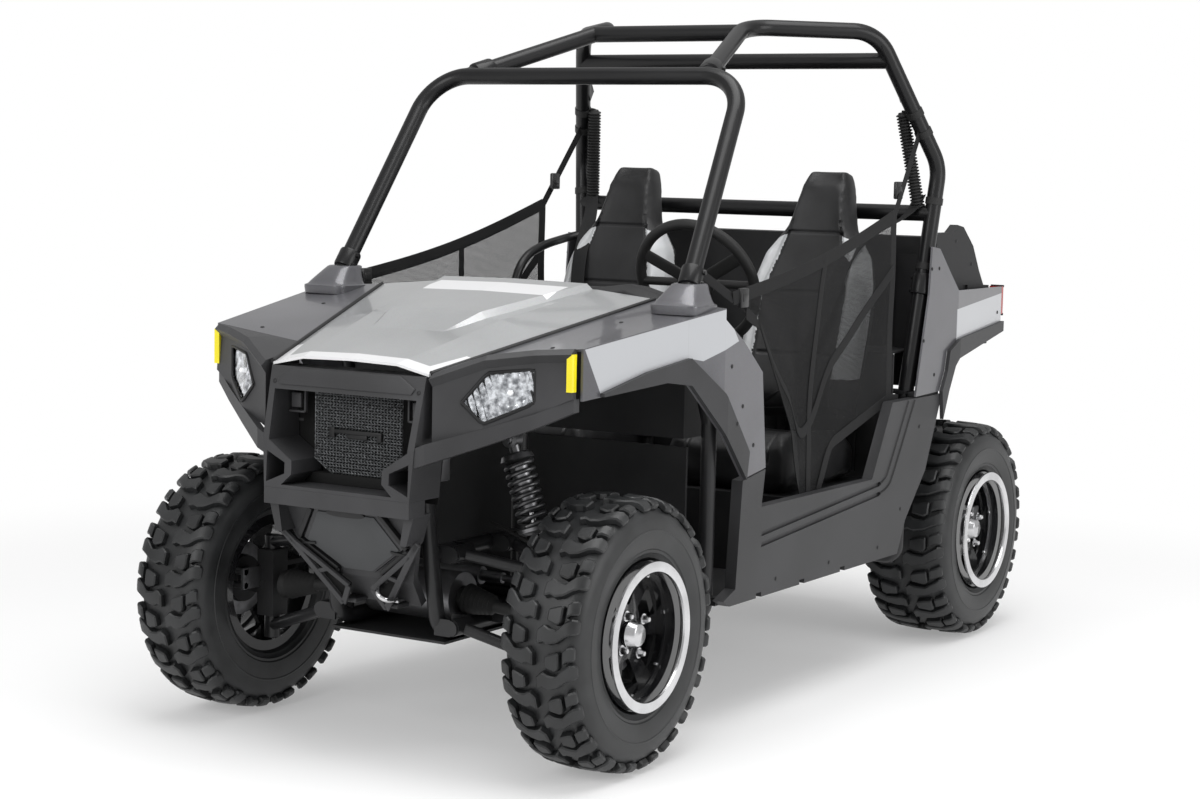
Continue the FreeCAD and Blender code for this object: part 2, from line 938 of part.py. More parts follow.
rear_back = "(rear_track / 2 + rear_rim_width / 2 + rim_lip_thick - disc_inset - disc_thick - carrier_y)"
carrier = upright("carrier_left", rear_back)
place(carrier, "front_axle_x - wheelbase", "carrier_y", "tyre_radius")
keep("rear_carriers", both("rear_carriers", carrier))
arm_pair("rear", rear_axle_x, size("carrier_y"))

# Shocks with their springs, from the frame down to the upper arms

eye_radius = size("shock_eye_radius")


def shock(x, top_y, top_z, foot_y, foot_z):
    """Damper rod, spring sleeve between its two seats, and two eyes, left side."""
    top = V(x, top_y, top_z)
    foot = V(x, foot_y, foot_z)
    along = (top - foot).normalize()
    low = foot + along * size("shock_foot_reach")
    high = top - along * size("shock_top_reach")
    thick = along * size("shock_seat_thick")
    shape = rod_shape(foot, top, size("shock_rod_radius"))
    shape = shape.fuse(rod_shape(low, high, size("shock_sleeve_radius")))
    shape = shape.fuse(rod_shape(low, low + thick, size("shock_seat_radius")))
    shape = shape.fuse(rod_shape(high - thick, high, size("shock_seat_radius")))
    eye_half = V(eye_radius, 0, 0)
    for eye in (top, foot):
        shape = shape.fuse(rod_shape(eye - eye_half, eye + eye_half, eye_radius))
    return shape


def shock_pair(end, axle_x, ball_y):
    """Both shocks of one axle, their feet seated on the upper arms' braces."""
    foot_y = size(f"{end}_shock_foot_y")
    share = (foot_y - size("pivot_y")) / (ball_y - size("pivot_y"))
    brace_z = size(f"{end}_high_pivot_z") * (1 - share) + high_ball * share
    foot_z = brace_z + size("brace_radius") + eye_radius + size("seat_gap")
    made = shock(axle_x, size(f"{end}_shock_top_y"), size(f"{end}_shock_top_z"), foot_y, foot_z)
    keep(f"{end}_shocks", both(f"{end}_shocks", solid(f"{end}_shock", made)))


shock_pair("front", front_x, size("kingpin_y"))
shock_pair("rear", rear_axle_x, size("carrier_y"))

# Final drives between the rails, and the half shafts with their boots

drive_half = size("rail_y") - size("frame_tube_radius") - size("seat_gap")
drive_z = size("rail_z") + size("final_drive_rise")


def half_shaft(axle_x, outer_y):
    """Shaft with a boot at each end, left side."""
    inner = V(axle_x, drive_half - size("boot_inner_lap"), drive_z)
    outer = V(axle_x, outer_y, size("tyre_radius"))
    along = (outer - inner).normalize()
    reach = size("boot_length")
    neck = size("shaft_radius") + size("boot_neck")
    shape = rod_shape(inner, outer + along * size("shaft_radius"), size("shaft_radius"))
    shape = shape.fuse(Part.makeCone(size("boot_radius"), neck, reach + size("boot_inner_lap"), inner, along))
    shape = shape.fuse(Part.makeCone(neck, size("boot_radius"), reach, outer - along * reach, along))
    room = 2 * size("boot_radius") + abs(drive_z - size("tyre_radius"))
    start = drive_half + size("seat_gap")
    return shape.common(Part.makeBox(2 * room, outer_y - start, 2 * room, V(axle_x - room, start, drive_z - room)))


shafts = []
drives = []
knuckle_swing = math.hypot(size("knuckle_half"), size("knuckle_depth") / 2)
for end, axle_x, outer_y in (
    ("front", front_x, size("kingpin_y") - knuckle_swing - size("move_gap")),
    ("rear", rear_axle_x, size("carrier_y") - size("knuckle_depth") / 2 - size("seat_gap")),
):
    shafts.append(both(f"{end}_half_shafts", solid(f"{end}_half_shaft", half_shaft(axle_x, outer_y))))
    drives.append(solid(f"{end}_drive", across_at(axle_x, drive_z, drive_half, size("final_drive_radius"))))
keep("half_shafts", group("half_shafts", *shafts))
keep("final_drives", group("final_drives", *drives))

# Welded frame: two bent rail loops, each with its uprights and arm brackets

frame_r = size("frame_tube_radius")
rail_y = size("rail_y")
rail_z = size("rail_z")
front_end = size("frame_front_x")
rear_end = size("frame_rear_x")
bed_z = size("bed_frame_z")
top_z = size("frame_top_z")
rear_top_z = bed_z - size("rear_top_drop")
tower_x = size("tower_x")
tower_y = size("tower_y")
leg_x = size("leg_base_x")
post_y = size("body_y") - size("rocker_skin") - frame_r - size("panel_gap")

loop = tube_shape([
    V(size("bed_front_x"), rail_y, bed_z),
    V(rear_end, rail_y, bed_z),
    V(rear_end, rail_y, rail_z),
    V(front_end, rail_y, rail_z),
    V(size("nose_top_x"), rail_y, top_z),
    V(size("nose_rear_x"), rail_y, top_z),
], frame_r, size("frame_bend"))
members = []
for x, low, high in (
    (size("bed_front_x"), rail_z, bed_z),
    (size("nose_rear_x"), rail_z, top_z),
    (rear_axle_x + size("bay_half"), rail_z, bed_z),
):
    members.append(rod_shape(V(x, rail_y, low), V(x, rail_y, high), frame_r))
nose_share = (size("front_high_pivot_z") - rail_z) / (top_z - rail_z)
for start, end, z in (
    (size("nose_rear_x"), front_end + (size("nose_top_x") - front_end) * nose_share, size("front_high_pivot_z")),
    (rear_end, rear_axle_x + size("bay_half"), size("rear_high_pivot_z")),
):
    members.append(rod_shape(V(start, rail_y, z), V(end, rail_y, z), frame_r))
members.append(rod_shape(V(rear_axle_x, rail_y, rear_top_z), V(rear_axle_x, rail_y, bed_z), frame_r))
for axle_x, low_z, high_z in (
    (front_x, size("front_low_pivot_z"), size("front_high_pivot_z")),
    (rear_axle_x, size("rear_low_pivot_z"), size("rear_high_pivot_z")),
):
    barrel = size("arm_barrel_half") + size("seat_gap")
    for z in (low_z, high_z):
        for way in (1, -1):
            pivot_x = axle_x + way * size("arm_spread")
            for edge in (pivot_x - barrel - size("bracket_thick"), pivot_x + barrel):
                ear = Part.makeBox(
                    size("bracket_thick"), size("pivot_y") - rail_y, 2 * size("bracket_half"),
                    V(edge, rail_y, z - size("bracket_half")))
                members.append(ear.fuse(rod_shape(
                    V(edge, size("pivot_y"), z), V(edge + size("bracket_thick"), size("pivot_y"), z),
                    size("bracket_radius"))))
rail = solid("frame_rail", loop.multiFuse(members))
keep("frame", both("frame", rail))

# Crossmembers between the loops, shock towers and the tow plate

between_rails = rail_y - frame_r - size("seat_gap")
cross = []
for x, z in (
    (tower_x, rail_z),
    (size("nose_top_x") - size("frame_bend"), top_z),
    (size("bed_front_x"), bed_z),
    (rear_end, (bed_z + rail_z) / 2 + frame_r * 2),
):
    cross.append(solid("crossmember", across_at(x, z, between_rails, frame_r)))
for end, axle_x, z in (("front", front_x, top_z), ("rear", rear_axle_x, rear_top_z)):
    reach = size(f"{end}_shock_top_y") - eye_radius - size("seat_gap")
    start = rail_y + frame_r + size("seat_gap")
    arm = rod_shape(V(axle_x, start, z), V(axle_x, reach, z), frame_r)
    cross.append(both(f"{end}_shock_towers", solid(f"{end}_shock_tower", arm)))
plate = Part.makeBox(size("tow_reach"), 2 * between_rails, size("tow_thick"), V(
    rear_end - size("tow_reach"), -between_rails, rail_z - frame_r))
plate = plate.fuse(across_at(rear_end, rail_z, between_rails, frame_r))
plate = plate.cut(Part.makeCylinder(
    size("tow_hole_radius"), 3 * size("tow_thick"),
    V(rear_end - size("tow_reach") + size("tow_hole_inset"), 0, rail_z - frame_r - size("tow_thick"))))
cross.append(solid("tow_plate", plate))
keep("frame_crossmembers", group("frame_crossmembers", *cross))

# Cage towers: outriggers from the loops up to the plates that the cage's feet stand on

pads_thick = size("foot_plate")
foot_half = size("foot_half")
tab_half = size("rocker_tab_half")


def foot_pad(x, y, top):
    """Square plate under one foot of the cage."""
    return Part.makeBox(2 * foot_half, 2 * foot_half, pads_thick, V(x - foot_half, y - foot_half, top))


def rocker_tab(x, y, z):
    """Tab from a tower out to the rocker's inner face."""
    reach = size("body_y") - size("rocker_skin") - size("seat_gap") - y
    return Part.makeBox(2 * tab_half, reach, size("rocker_tab_height"), V(x - tab_half, y, z))


start = rail_y + frame_r + size("seat_gap")
tower_top = size("hoop_foot_z") - pads_thick - size("seat_gap")
tower = tube_shape([
    V(tower_x, start, rail_z),
    V(tower_x, tower_y, rail_z),
    V(tower_x, tower_y, size("tower_bend_z")),
    V(size("hoop_foot_x"), size("hoop_foot_y"), size("hoop_foot_z")),
], frame_r, size("tower_bend"))
tower = tower.cut(Part.makeBox(4 * foot_half, 4 * foot_half, 4 * foot_half, V(
    size("hoop_foot_x") - 2 * foot_half, size("hoop_foot_y") - 2 * foot_half, tower_top)))
tower = tower.fuse([foot_pad(size("hoop_foot_x"), size("hoop_foot_y"), tower_top), rocker_tab(tower_x, tower_y, size("front_tab_z"))])
post_top = size("leg_base_z") - pads_thick - size("seat_gap")
post = tube_shape([
    V(leg_x, start, rail_z),
    V(leg_x, post_y, rail_z),
    V(leg_x, post_y, post_top + pads_thick / 2),
], frame_r, size("tower_bend"))
post = post.fuse([foot_pad(leg_x, post_y - frame_r / 2, post_top), rocker_tab(leg_x, post_y, size("rear_tab_z"))])
keep("cage_towers", group(
    "cage_towers", both("front_towers", solid("front_tower", tower)), both("rear_posts", solid("rear_post", post))))

# Skid plate under the rails

skid = body("skid_plate")
pad(skid, "y", "-rail_y - frame_tube_radius", "rail_y + frame_tube_radius", [
    ("frame_rear_x", "rail_z - frame_tube_radius - seat_gap - skid_thick"),
    ("frame_front_x", "rail_z - frame_tube_radius - seat_gap - skid_thick"),
    ("frame_front_x", "rail_z - frame_tube_radius - seat_gap"),
    ("frame_rear_x", "rail_z - frame_tube_radius - seat_gap"),
])
keep("skid_plate", skid)

# Roll cage: front hoop, two roof rails that run down behind the seats, and crossbars

cage_r = size("cage_tube_radius")
cage_bend = size("cage_bend")
hoop_foot = V(size("hoop_foot_x"), size("hoop_foot_y"), size("hoop_foot_z"))
hoop_top = V(size("hoop_top_x"), size("hoop_top_y"), size("hoop_top_z"))
leg_start = hoop_foot + (hoop_foot - hoop_top).normalize() * cage_r
hoop_path = [leg_start, hoop_top] + [V(point.x, -point.y, point.z) for point in (hoop_top, leg_start)]
hoop = tube_shape(hoop_path, cage_r, cage_bend)
hoop = hoop.cut(Part.makeBox(4 * cage_r, 4 * hoop_foot.y, 4 * cage_r, V(
    hoop_foot.x - 2 * cage_r, -2 * hoop_foot.y, hoop_foot.z - 4 * cage_r)))
keep("cage_front_hoop", solid("cage_front_hoop", hoop))

side_path = [
    V(size("hoop_top_x"), size("rail_start_y"), size("hoop_top_z")),
    V(size("waist_x"), size("waist_y"), size("roof_z")),
    V(size("rear_corner_x"), size("rear_corner_y"), size("roof_z")),
    V(size("knee_x"), size("knee_y"), size("knee_z")),
    V(size("leg_foot_x"), size("leg_foot_y"), size("leg_foot_z")),
    V(leg_x, size("leg_base_y"), size("leg_base_z") - cage_r),
]
cage_side = tube_shape(side_path, cage_r, cage_bend)
cage_side = cage_side.cut(hoop)
cage_side = cage_side.cut(Part.makeBox(8 * cage_r, 8 * cage_r, 4 * cage_r, V(
    leg_x - 4 * cage_r, size("leg_base_y") - 4 * cage_r, size("leg_base_z") - 4 * cage_r)))
cage_side = max(cage_side.Solids, key=lambda part: part.Volume)
cage_left = solid("cage_side_left", cage_side)
keep("cage_side_left", cage_left)
keep("cage_side_right", mirrored("cage_side_right", cage_left))


def between(first, second, z):
    """Point at one height on the line between two others."""
    share = (z - first.z) / (second.z - first.z)
    return first + (second - first) * share


far_side = cage_side.mirror(V(0, 0, 0), V(0, 1, 0))
bars = []
for start, end, z in (
    (side_path[0], side_path[1], size("top_bar_z")),
    (side_path[2], side_path[3], size("upper_bar_z")),
    (side_path[3], side_path[4], size("shoulder_bar_z")),
):
    joint = between(start, end, z)
    bar = rod_shape(V(joint.x, -joint.y, joint.z), joint, cage_r)
    bar = bar.cut(cage_side).cut(far_side)
    bars.append(solid("crossbar", max(bar.Solids, key=lambda part: part.Volume)))
keep("cage_crossbars", group("cage_crossbars", *bars))

# Hood: crowned panel that widens towards the cab, with a raised field in its rear half


def crowned(half, edge_z, crown):
    """Closed strip of panel thickness, nearly level in the middle and falling to its edges."""
    top = [
        (f"-({half})", edge_z),
        (f"-({half}) * hood_flat", f"{edge_z} + hood_shoulder * {crown}"),
        ("0", f"{edge_z} + {crown}"),
        (f"({half}) * hood_flat", f"{edge_z} + hood_shoulder * {crown}"),
        (half, edge_z),
    ]
    return top + [(across, f"{up} - panel_thick") for across, up in reversed(top)]


def raised(half, edge_z, crown, rise):
    """Low ridge whose foot is buried in the hood's skin."""
    shoulder = f"{edge_z} + hood_shoulder * {crown} - bulge_bury"
    return [
        (f"-({half})", shoulder),
        (f"-({half}) + bulge_ramp", f"{edge_z} + {crown} + {rise} - bulge_bury"),
        ("0", f"{edge_z} + {crown} + {rise}"),
        (f"({half}) - bulge_ramp", f"{edge_z} + {crown} + {rise} - bulge_bury"),
        (half, shoulder),
        ("0", f"{edge_z} + {crown} - bulge_bury"),
    ]


hood_slope = "(hood_rear_half - hood_front_half) / (hood_front_x - hood_rear_x)"
hood_rise = "(hood_rear_z - hood_front_z) / (hood_front_x - hood_rear_x)"


def hood_half_at(x):
    """Half width of the hood at one station."""
    return f"(hood_front_half + (hood_front_x - {x}) * {hood_slope})"


def hood_edge_at(x):
    """Height of the hood's side edge at one station."""
    return f"(hood_front_z + (hood_front_x - {x}) * {hood_rise})"


hood = body("hood")
loft(hood, "x", [
    ("hood_rear_x", crowned("hood_rear_half", "hood_rear_z", "hood_rear_crown")),
    ("hood_mid_x", crowned(hood_half_at("hood_mid_x"), hood_edge_at("hood_mid_x"), "hood_mid_crown")),
    ("hood_front_x", crowned("hood_front_half", "hood_front_z", "hood_front_crown")),
])
bulge_crown = ("(hood_front_crown + (hood_mid_crown - hood_front_crown)"
               " * (hood_front_x - bulge_front_x) / (hood_front_x - hood_mid_x))")
loft(hood, "x", [
    ("hood_rear_x", raised("bulge_rear_half", "hood_rear_z", "hood_rear_crown", "bulge_rise")),
    ("hood_mid_x", raised("bulge_mid_half", hood_edge_at("hood_mid_x"), "hood_mid_crown", "bulge_rise")),
    ("bulge_front_x", raised("bulge_front_half", hood_edge_at("bulge_front_x"), bulge_crown, "0")),
])
keep("hood", hood)

# Front fenders: deck beside the hood, side skin, arch cut out of it

fender = body("front_fender_left")


def fender_section(hood_y, hood_z, out_y, out_z, low_z):
    """Closed strip: deck from the hood's edge outwards, then down the side."""
    return [
        (f"{hood_y} + panel_gap", hood_z),
        (out_y, out_z),
        (out_y, low_z),
        (f"{out_y} - panel_thick", low_z),
        (f"{out_y} - panel_thick", f"{out_z} - panel_thick"),
        (f"{hood_y} + panel_gap", f"{hood_z} - panel_thick"),
    ]


deck_front_y = hood_half_at("fender_front_x")
deck_front_z = hood_edge_at("fender_front_x")
loft(fender, "x", [
    ("hood_rear_x", fender_section(
        "hood_rear_half", "hood_rear_z", "fender_rear_y", "fender_rear_z", "arch_low_z")),
    ("fender_front_x", fender_section(
        deck_front_y, deck_front_z, "fender_front_y", "fender_front_z", "fender_side_low")),
])
pad(fender, "y", "fender_rear_y - panel_thick", "fender_rear_y", [
    ("hood_rear_x", "arch_low_z"),
    ("hood_rear_x", "door_edge_high_z"),
    ("door_edge_top_x", "door_edge_top_z"),
    ("door_edge_mid_x", "door_edge_mid_z"),
    ("door_edge_x", "skin_joint_z"),
    ("arch_low_x", "arch_low_z"),
])
pocket(fender, "y", "fender_front_y - cut_reach", "fender_rear_y + cut_reach", [
    ("arch_low_x", "arch_low_z - cut_reach"),
    ("arch_low_x", "arch_low_z"),
    ("arch_fall_x", "arch_fall_z"),
    ("arch_turn_x", "arch_turn_z"),
    ("arch_top_x", "arch_top_z"),
    ("fender_front_x + panel_gap", "fender_side_low"),
    ("fender_front_x + panel_gap", "arch_low_z - cut_reach"),
])
foot_room = "(foot_half + panel_gap)"
pocket(fender, "z", "hood_rear_z - 2 * cut_reach", "hood_rear_z + cut_reach", [
    ("hood_rear_x - panel_gap", f"hoop_foot_y - {foot_room}"),
    (f"hoop_foot_x + {foot_room}", f"hoop_foot_y - {foot_room}"),
    (f"hoop_foot_x + {foot_room}", f"hoop_foot_y + {foot_room}"),
    ("hood_rear_x - panel_gap", f"hoop_foot_y + {foot_room}"),
])
keep("front_fenders", both("front_fenders", fender))

# Arch flares: bands of raw plastic on the skins round the wheel arches

front_band = body("front_flare_band")
pad(front_band, "y", "fender_front_y - cut_reach", "fender_rear_y + cut_reach", [
    ("arch_low_x", "arch_low_z"),
    ("arch_fall_x", "arch_fall_z"),
    ("arch_turn_x", "arch_turn_z"),
    ("arch_top_x", "arch_top_z"),
    ("flare_front_x", "flare_front_z - flare_lap"),
    ("flare_front_x", "flare_front_z"),
    ("flare_top_x", "flare_top_z"),
    ("flare_turn_x", "flare_turn_z"),
    ("flare_fall_x", "flare_fall_z"),
    ("flare_low_x", "flare_low_z"),
])
skin_side = body("front_flare_side")


def flare_side(out_y):
    """Section of the flare's thickness outside a skin."""
    return [
        (f"{out_y} + seat_gap", "arch_low_z - cut_reach"),
        (f"{out_y} + seat_gap + flare_out", "arch_low_z - cut_reach"),
        (f"{out_y} + seat_gap + flare_out", "fender_rear_z"),
        (f"{out_y} + seat_gap", "fender_rear_z"),
    ]


loft(skin_side, "x", [
    ("door_edge_x", flare_side("fender_rear_y")),
    ("hood_rear_x", flare_side("fender_rear_y")),
    ("fender_front_x", flare_side("fender_front_y")),
])
front_flare = shared("front_flare", front_band, skin_side)

rear_flare = body("rear_flare")
pad(rear_flare, "y", "body_y + seat_gap", "body_y + seat_gap + flare_out", [
    ("panel_heel_x", "panel_heel_z"),
    ("panel_back_x", "panel_back_z"),
    ("panel_lip_x", "panel_lip_z"),
    ("notch_x", "wing_low_z + flare_lap"),
    ("notch_x", "rear_arch_end_z"),
    ("rear_arch_top_x", "rear_arch_top_z"),
    ("rear_arch_mid_x", "rear_arch_mid_z"),
    ("rear_arch_low_x", "rear_arch_low_z"),
])


def flare_under(out_y, low_z, high_z):
    """Section of the band under the tail wing."""
    return [
        (f"{out_y} + seat_gap", low_z),
        (f"{out_y} + seat_gap + flare_out", low_z),
        (f"{out_y} + seat_gap + flare_out", high_z),
        (f"{out_y} + seat_gap", high_z),
    ]


loft(rear_flare, "x", [
    ("notch_x", flare_under("body_y", "rear_arch_end_z", "wing_low_z + flare_lap")),
    ("tail_x", flare_under("tail_y", "tail_flare_low_z", "tail_low_z + flare_lap")),
])
keep("arch_flares", group("arch_flares", both("front_flares", front_flare), both("rear_flares", rear_flare)))

# Boots over the feet of the front hoop, their feet cut to the slope of the deck

boot = body("hoop_boot")
loft(boot, "z", [
    ("fender_rear_z - boot_rise", [
        ("hoop_foot_x - boot_half", "hoop_foot_y - boot_half"),
        ("hoop_foot_x + boot_half", "hoop_foot_y - boot_half"),
        ("hoop_foot_x + boot_half", "hoop_foot_y + boot_half"),
        ("hoop_foot_x - boot_half", "hoop_foot_y + boot_half"),
    ]),
    ("fender_rear_z", [
        ("hoop_foot_x - boot_half", "hoop_foot_y - boot_half"),
        ("hoop_foot_x + boot_half", "hoop_foot_y - boot_half"),
        ("hoop_foot_x + boot_half", "hoop_foot_y + boot_half"),
        ("hoop_foot_x - boot_half", "hoop_foot_y + boot_half"),
    ]),
    ("fender_rear_z + boot_rise", [
        ("hoop_foot_x - boot_top_back", "hoop_foot_y - boot_top_in"),
        ("hoop_foot_x + boot_top_front", "hoop_foot_y - boot_top_in"),
        ("hoop_foot_x + boot_top_front", "hoop_foot_y + boot_top_out"),
        ("hoop_foot_x - boot_top_back", "hoop_foot_y + boot_top_out"),
    ]),
])
deck = body("deck_under_boot")


def deck_below(hood_y, hood_z, out_y, out_z):
    """Section of all that lies under the deck's upper face."""
    return [
        (hood_y, f"{hood_z} + seat_gap"),
        (out_y, f"{out_z} + seat_gap"),
        (out_y, "fender_rear_z - 3 * cut_reach"),
        (hood_y, "fender_rear_z - 3 * cut_reach"),
    ]


loft(deck, "x", [
    ("hood_rear_x - cut_reach", deck_below("hood_rear_half", "hood_rear_z", "fender_rear_y", "fender_rear_z")),
    ("hood_rear_x", deck_below("hood_rear_half", "hood_rear_z", "fender_rear_y", "fender_rear_z")),
    ("fender_front_x", deck_below(deck_front_y, deck_front_z, "fender_front_y", "fender_front_z")),
])
boot_hole = solid("boot_hole", tube_shape(hoop_path, cage_r + size("seat_gap"), cage_bend))
foot_space = "(foot_half + seat_gap)"
boot_foot = block(
    "boot_foot",
    (f"hoop_foot_x - {foot_space}", f"hoop_foot_y - {foot_space}", "fender_rear_z - boot_rise"),
    (f"hoop_foot_x + {foot_space}", f"hoop_foot_y + {foot_space}", "hoop_foot_z + seat_gap"))
keep("hoop_boots", both("hoop_boots", less("hoop_boot_bored", boot, deck, boot_hole, boot_foot)))

# Lamp pods with a brow, their lenses and the marker lamps at their outer ends

pod = body("lamp_pod")
pod_rear = "(fender_front_x + panel_gap)"


def deck_at(y):
    """Height of the fender deck's front edge at one distance from the middle."""
    return (f"({deck_front_z} + (fender_front_z - {deck_front_z})"
            f" * ({y} - {deck_front_y}) / (fender_front_y - {deck_front_y}))")


def pod_section(y, x, low, top, lean):
    """Section of a pod: face under a brow that stands out over it."""
    return (y, [
        (pod_rear, low),
        (x, low),
        (f"{x} - {lean}", f"{top} - visor_drop"),
        (f"{x} - {lean} + visor_out", f"{top} - visor_rise"),
        (f"{x} - {lean}", top),
        (pod_rear, deck_at(y)),
    ])


loft(pod, "y", [
    pod_section("pod_in_y", "pod_in_x", "jaw_in_top_z + seat_gap", "pod_in_top_z", "0"),
    pod_section("pod_low_y", "pod_low_x", "jaw_low_top_z + seat_gap", "pod_low_top_z", "pod_lean"),
    pod_section("pod_mid_y", "pod_mid_x", "jaw_mid_top_z + seat_gap", "pod_mid_top_z", "0"),
    pod_section("pod_end_y", "pod_end_x", "jaw_out_top_z + seat_gap", "pod_end_top_z", "visor_out / 2"),
])
pocket(pod, "z", "jaw_in_low_z", "fender_front_z + cut_reach", [
    ("prow_end_x + cut_reach", "hood_front_half + panel_gap"),
    ("hood_front_x", "hood_front_half + panel_gap"),
    ("hood_rear_x", "hood_rear_half + panel_gap"),
    ("hood_rear_x", "0"),
    ("prow_end_x + cut_reach", "0"),
])


def lens_body(name, proud, shrink):
    """Faceted lens outline in a pod's face, or the opening that it lies in."""
    made = body(name)
    sections = []
    for y, low_x, top_x, low, top in (
        (f"lens_in_y + {shrink}", "lens_in_x", "lens_in_x", "lens_in_z - lens_tip", "lens_in_z + lens_tip"),
        ("pod_low_y", "pod_low_x", "(pod_low_x - pod_lean)", "jaw_low_top_z + lens_rim",
         "pod_low_top_z - visor_drop - lens_rim"),
        (f"lens_out_y - {shrink}", "lens_out_x", "lens_out_x", "lens_out_low_z", "lens_out_top_z"),
    ):
        sections.append((y, [
            (f"{low_x} - lens_set - lens_deep + {shrink}", f"{low} + {shrink}"),
            (f"{low_x} + {proud}", f"{low} + {shrink}"),
            (f"{top_x} + {proud}", f"{top} - {shrink}"),
            (f"{top_x} - lens_set - lens_deep + {shrink}", f"{top} - {shrink}"),
        ]))
    loft(made, "y", sections)
    return made


lens = lens_body("headlamp_lens", "(-lens_set)", "seat_gap")
lens_opening = lens_body("lens_opening", "2 * lens_deep", "0")
marker = body("marker_lamp")
pad(marker, "y", "marker_y", "pod_end_y + marker_proud", [
    ("marker_back", "marker_low_z"),
    ("marker_front", "marker_low_z"),
    ("marker_front", "marker_top_z"),
    ("marker_back", "marker_top_z"),
])
keep("lamp_pods", both("lamp_pods", less("lamp_pod_left", pod, lens_opening, marker)))
keep("headlamps", both("headlamps", lens))
keep("marker_lamps", both("marker_lamps", marker))

# Fascia: prow frame round the grille with a window beside each lower corner, and jaw strips under the pods

fascia = body("front_fascia")
prow_top_z = "(hood_front_z - panel_thick - seat_gap)"


def prow_section(front, half):
    """Plan outline of the prow at one height."""
    return [
        ("prow_top_x - prow_depth", f"-{half}"),
        (front, f"-{half}"),
        (front, half),
        ("prow_top_x - prow_depth", half),
    ]


loft(fascia, "z", [
    ("prow_end_z", prow_section("prow_end_x", "prow_end_half")),
    ("prow_corner_z", prow_section("prow_corner_x", "prow_corner_half")),
    (prow_top_z, prow_section("prow_top_x", "prow_top_half")),
])
prow_back = "prow_top_x - 2 * prow_depth"
prow_ahead = "prow_end_x + cut_reach"


def grille_half_outline(inset):
    """Left half of the grille opening's outline, from its top down."""
    return [
        (f"grille_top_half - {inset}", f"grille_top_z - {inset}"),
        (f"grille_side_half - {inset}", f"grille_side_z"),
        (f"grille_waist_half - {inset}", f"grille_waist_z"),
        (f"grille_waist_half - {inset}", f"grille_pinch_z"),
        (f"grille_low_half - 2 * {inset}", f"grille_low_z + {inset}"),
    ]


pocket(fascia, "x", prow_back, prow_ahead, grille_half_outline("0") + flip(grille_half_outline("0")))
window = [
    ("window_out_half", "window_high_z"),
    ("window_out_half", "window_foot_z"),
    ("window_in_half", "window_pinch_z"),
    ("window_in_half", "window_waist_z"),
]
pocket(fascia, "x", prow_back, prow_ahead, window)
pocket(fascia, "x", prow_back, prow_ahead, flip(window))


def jaw_section(y, front, low, top):
    """Section of a jaw strip at one distance from the middle."""
    return (y, [(f"{front} - jaw_thick", low), (front, low), (front, top), (f"{front} - jaw_thick", top)])


for side in (1, -1):
    loft(fascia, "y", [
        jaw_section(f"{side} * {y}", x, low, top) for y, x, low, top in (
            ("jaw_root_half", "prow_corner_x", "jaw_root_low_z", "jaw_root_top_z"),
            ("pod_in_y", "jaw_in_x", "jaw_in_low_z", "jaw_in_top_z"),
            ("pod_low_y", "jaw_low_x", "jaw_low_low_z", "jaw_low_top_z"),
            ("pod_mid_y", "jaw_mid_x", "jaw_mid_low_z", "jaw_mid_top_z"),
            ("pod_end_y", "jaw_out_x", "jaw_out_low_z", "jaw_out_top_z"),
        )])
    # Ledge from the prow's cheek back on to the frame's nose
    ledge_z = "frame_top_z + frame_tube_radius + seat_gap"
    pad(fascia, "z", ledge_z, f"{ledge_z} + panel_thick", [
        ("ledge_rear_x", f"{side} * ledge_in_y"),
        ("prow_top_x - prow_depth - frame_tube_radius", f"{side} * ledge_in_y"),
        ("prow_top_x - prow_depth", f"{side} * (grille_top_half + panel_gap)"),
        ("prow_ledge_x", f"{side} * (grille_top_half + panel_gap)"),
        ("prow_ledge_x", f"{side} * ledge_out_y"),
        ("ledge_rear_x", f"{side} * ledge_out_y"),
    ])
keep("front_fascia", fascia)

screen = body("grille_screen")
screen_front = "(prow_top_x - screen_set)"
pad(screen, "x", f"{screen_front} - screen_thick", screen_front,
    grille_half_outline("seat_gap") + flip(grille_half_outline("seat_gap")))
slot_low = "(grille_side_z)"
slot = pocket(screen, "x", f"{screen_front} - 2 * screen_thick", f"{screen_front} + screen_thick", [
    ("-screen_slot_half", slot_low),
    ("screen_slot_half", slot_low),
    ("screen_slot_half", f"{slot_low} + screen_slot"),
    ("-screen_slot_half", f"{slot_low} + screen_slot"),
])
doc.recompute()
rows = screen.newObject("PartDesign::LinearPattern", "Slots")
rows.Originals = [slot]
rows.Direction = (origin_part(screen, "Z_Axis"), [""])
rows.setExpression("Length", read("(screen_rows - 1) * (screen_slot + screen_bar)"))
rows.setExpression("Occurrences", read("screen_rows"))
screen.Tip = rows
keep("grille_screen", screen)

# Bumper: bar under the prow, sloping shield with a raised six-sided plate, and cheeks at its sides

bumper_bar = body("bumper_bar")
bar_back = "(bar_top_x - bar_depth)"
pad(bumper_bar, "y", "-prow_end_half", "prow_end_half", [
    ("bar_top_x", "bar_low_z"),
    ("bar_top_x", "prow_end_z - seat_gap"),
    (bar_back, "prow_end_z - seat_gap"),
    (bar_back, "bar_low_z"),
])
for side in (1, -1):
    pad(bumper_bar, "x", "cheek_back_x", "cheek_front_x", [
        (f"{side} * cheek_in_half", "bar_low_z + panel_thick"),
        (f"{side} * prow_end_half", "bar_low_z + panel_thick"),
        (f"{side} * cheek_low_half", "cheek_low_z"),
        (f"{side} * nose_side_half", "nose_side_z - strut_lap"),
        (f"{side} * (cheek_in_half - strut_lap)", "nose_side_z - strut_lap"),
    ])


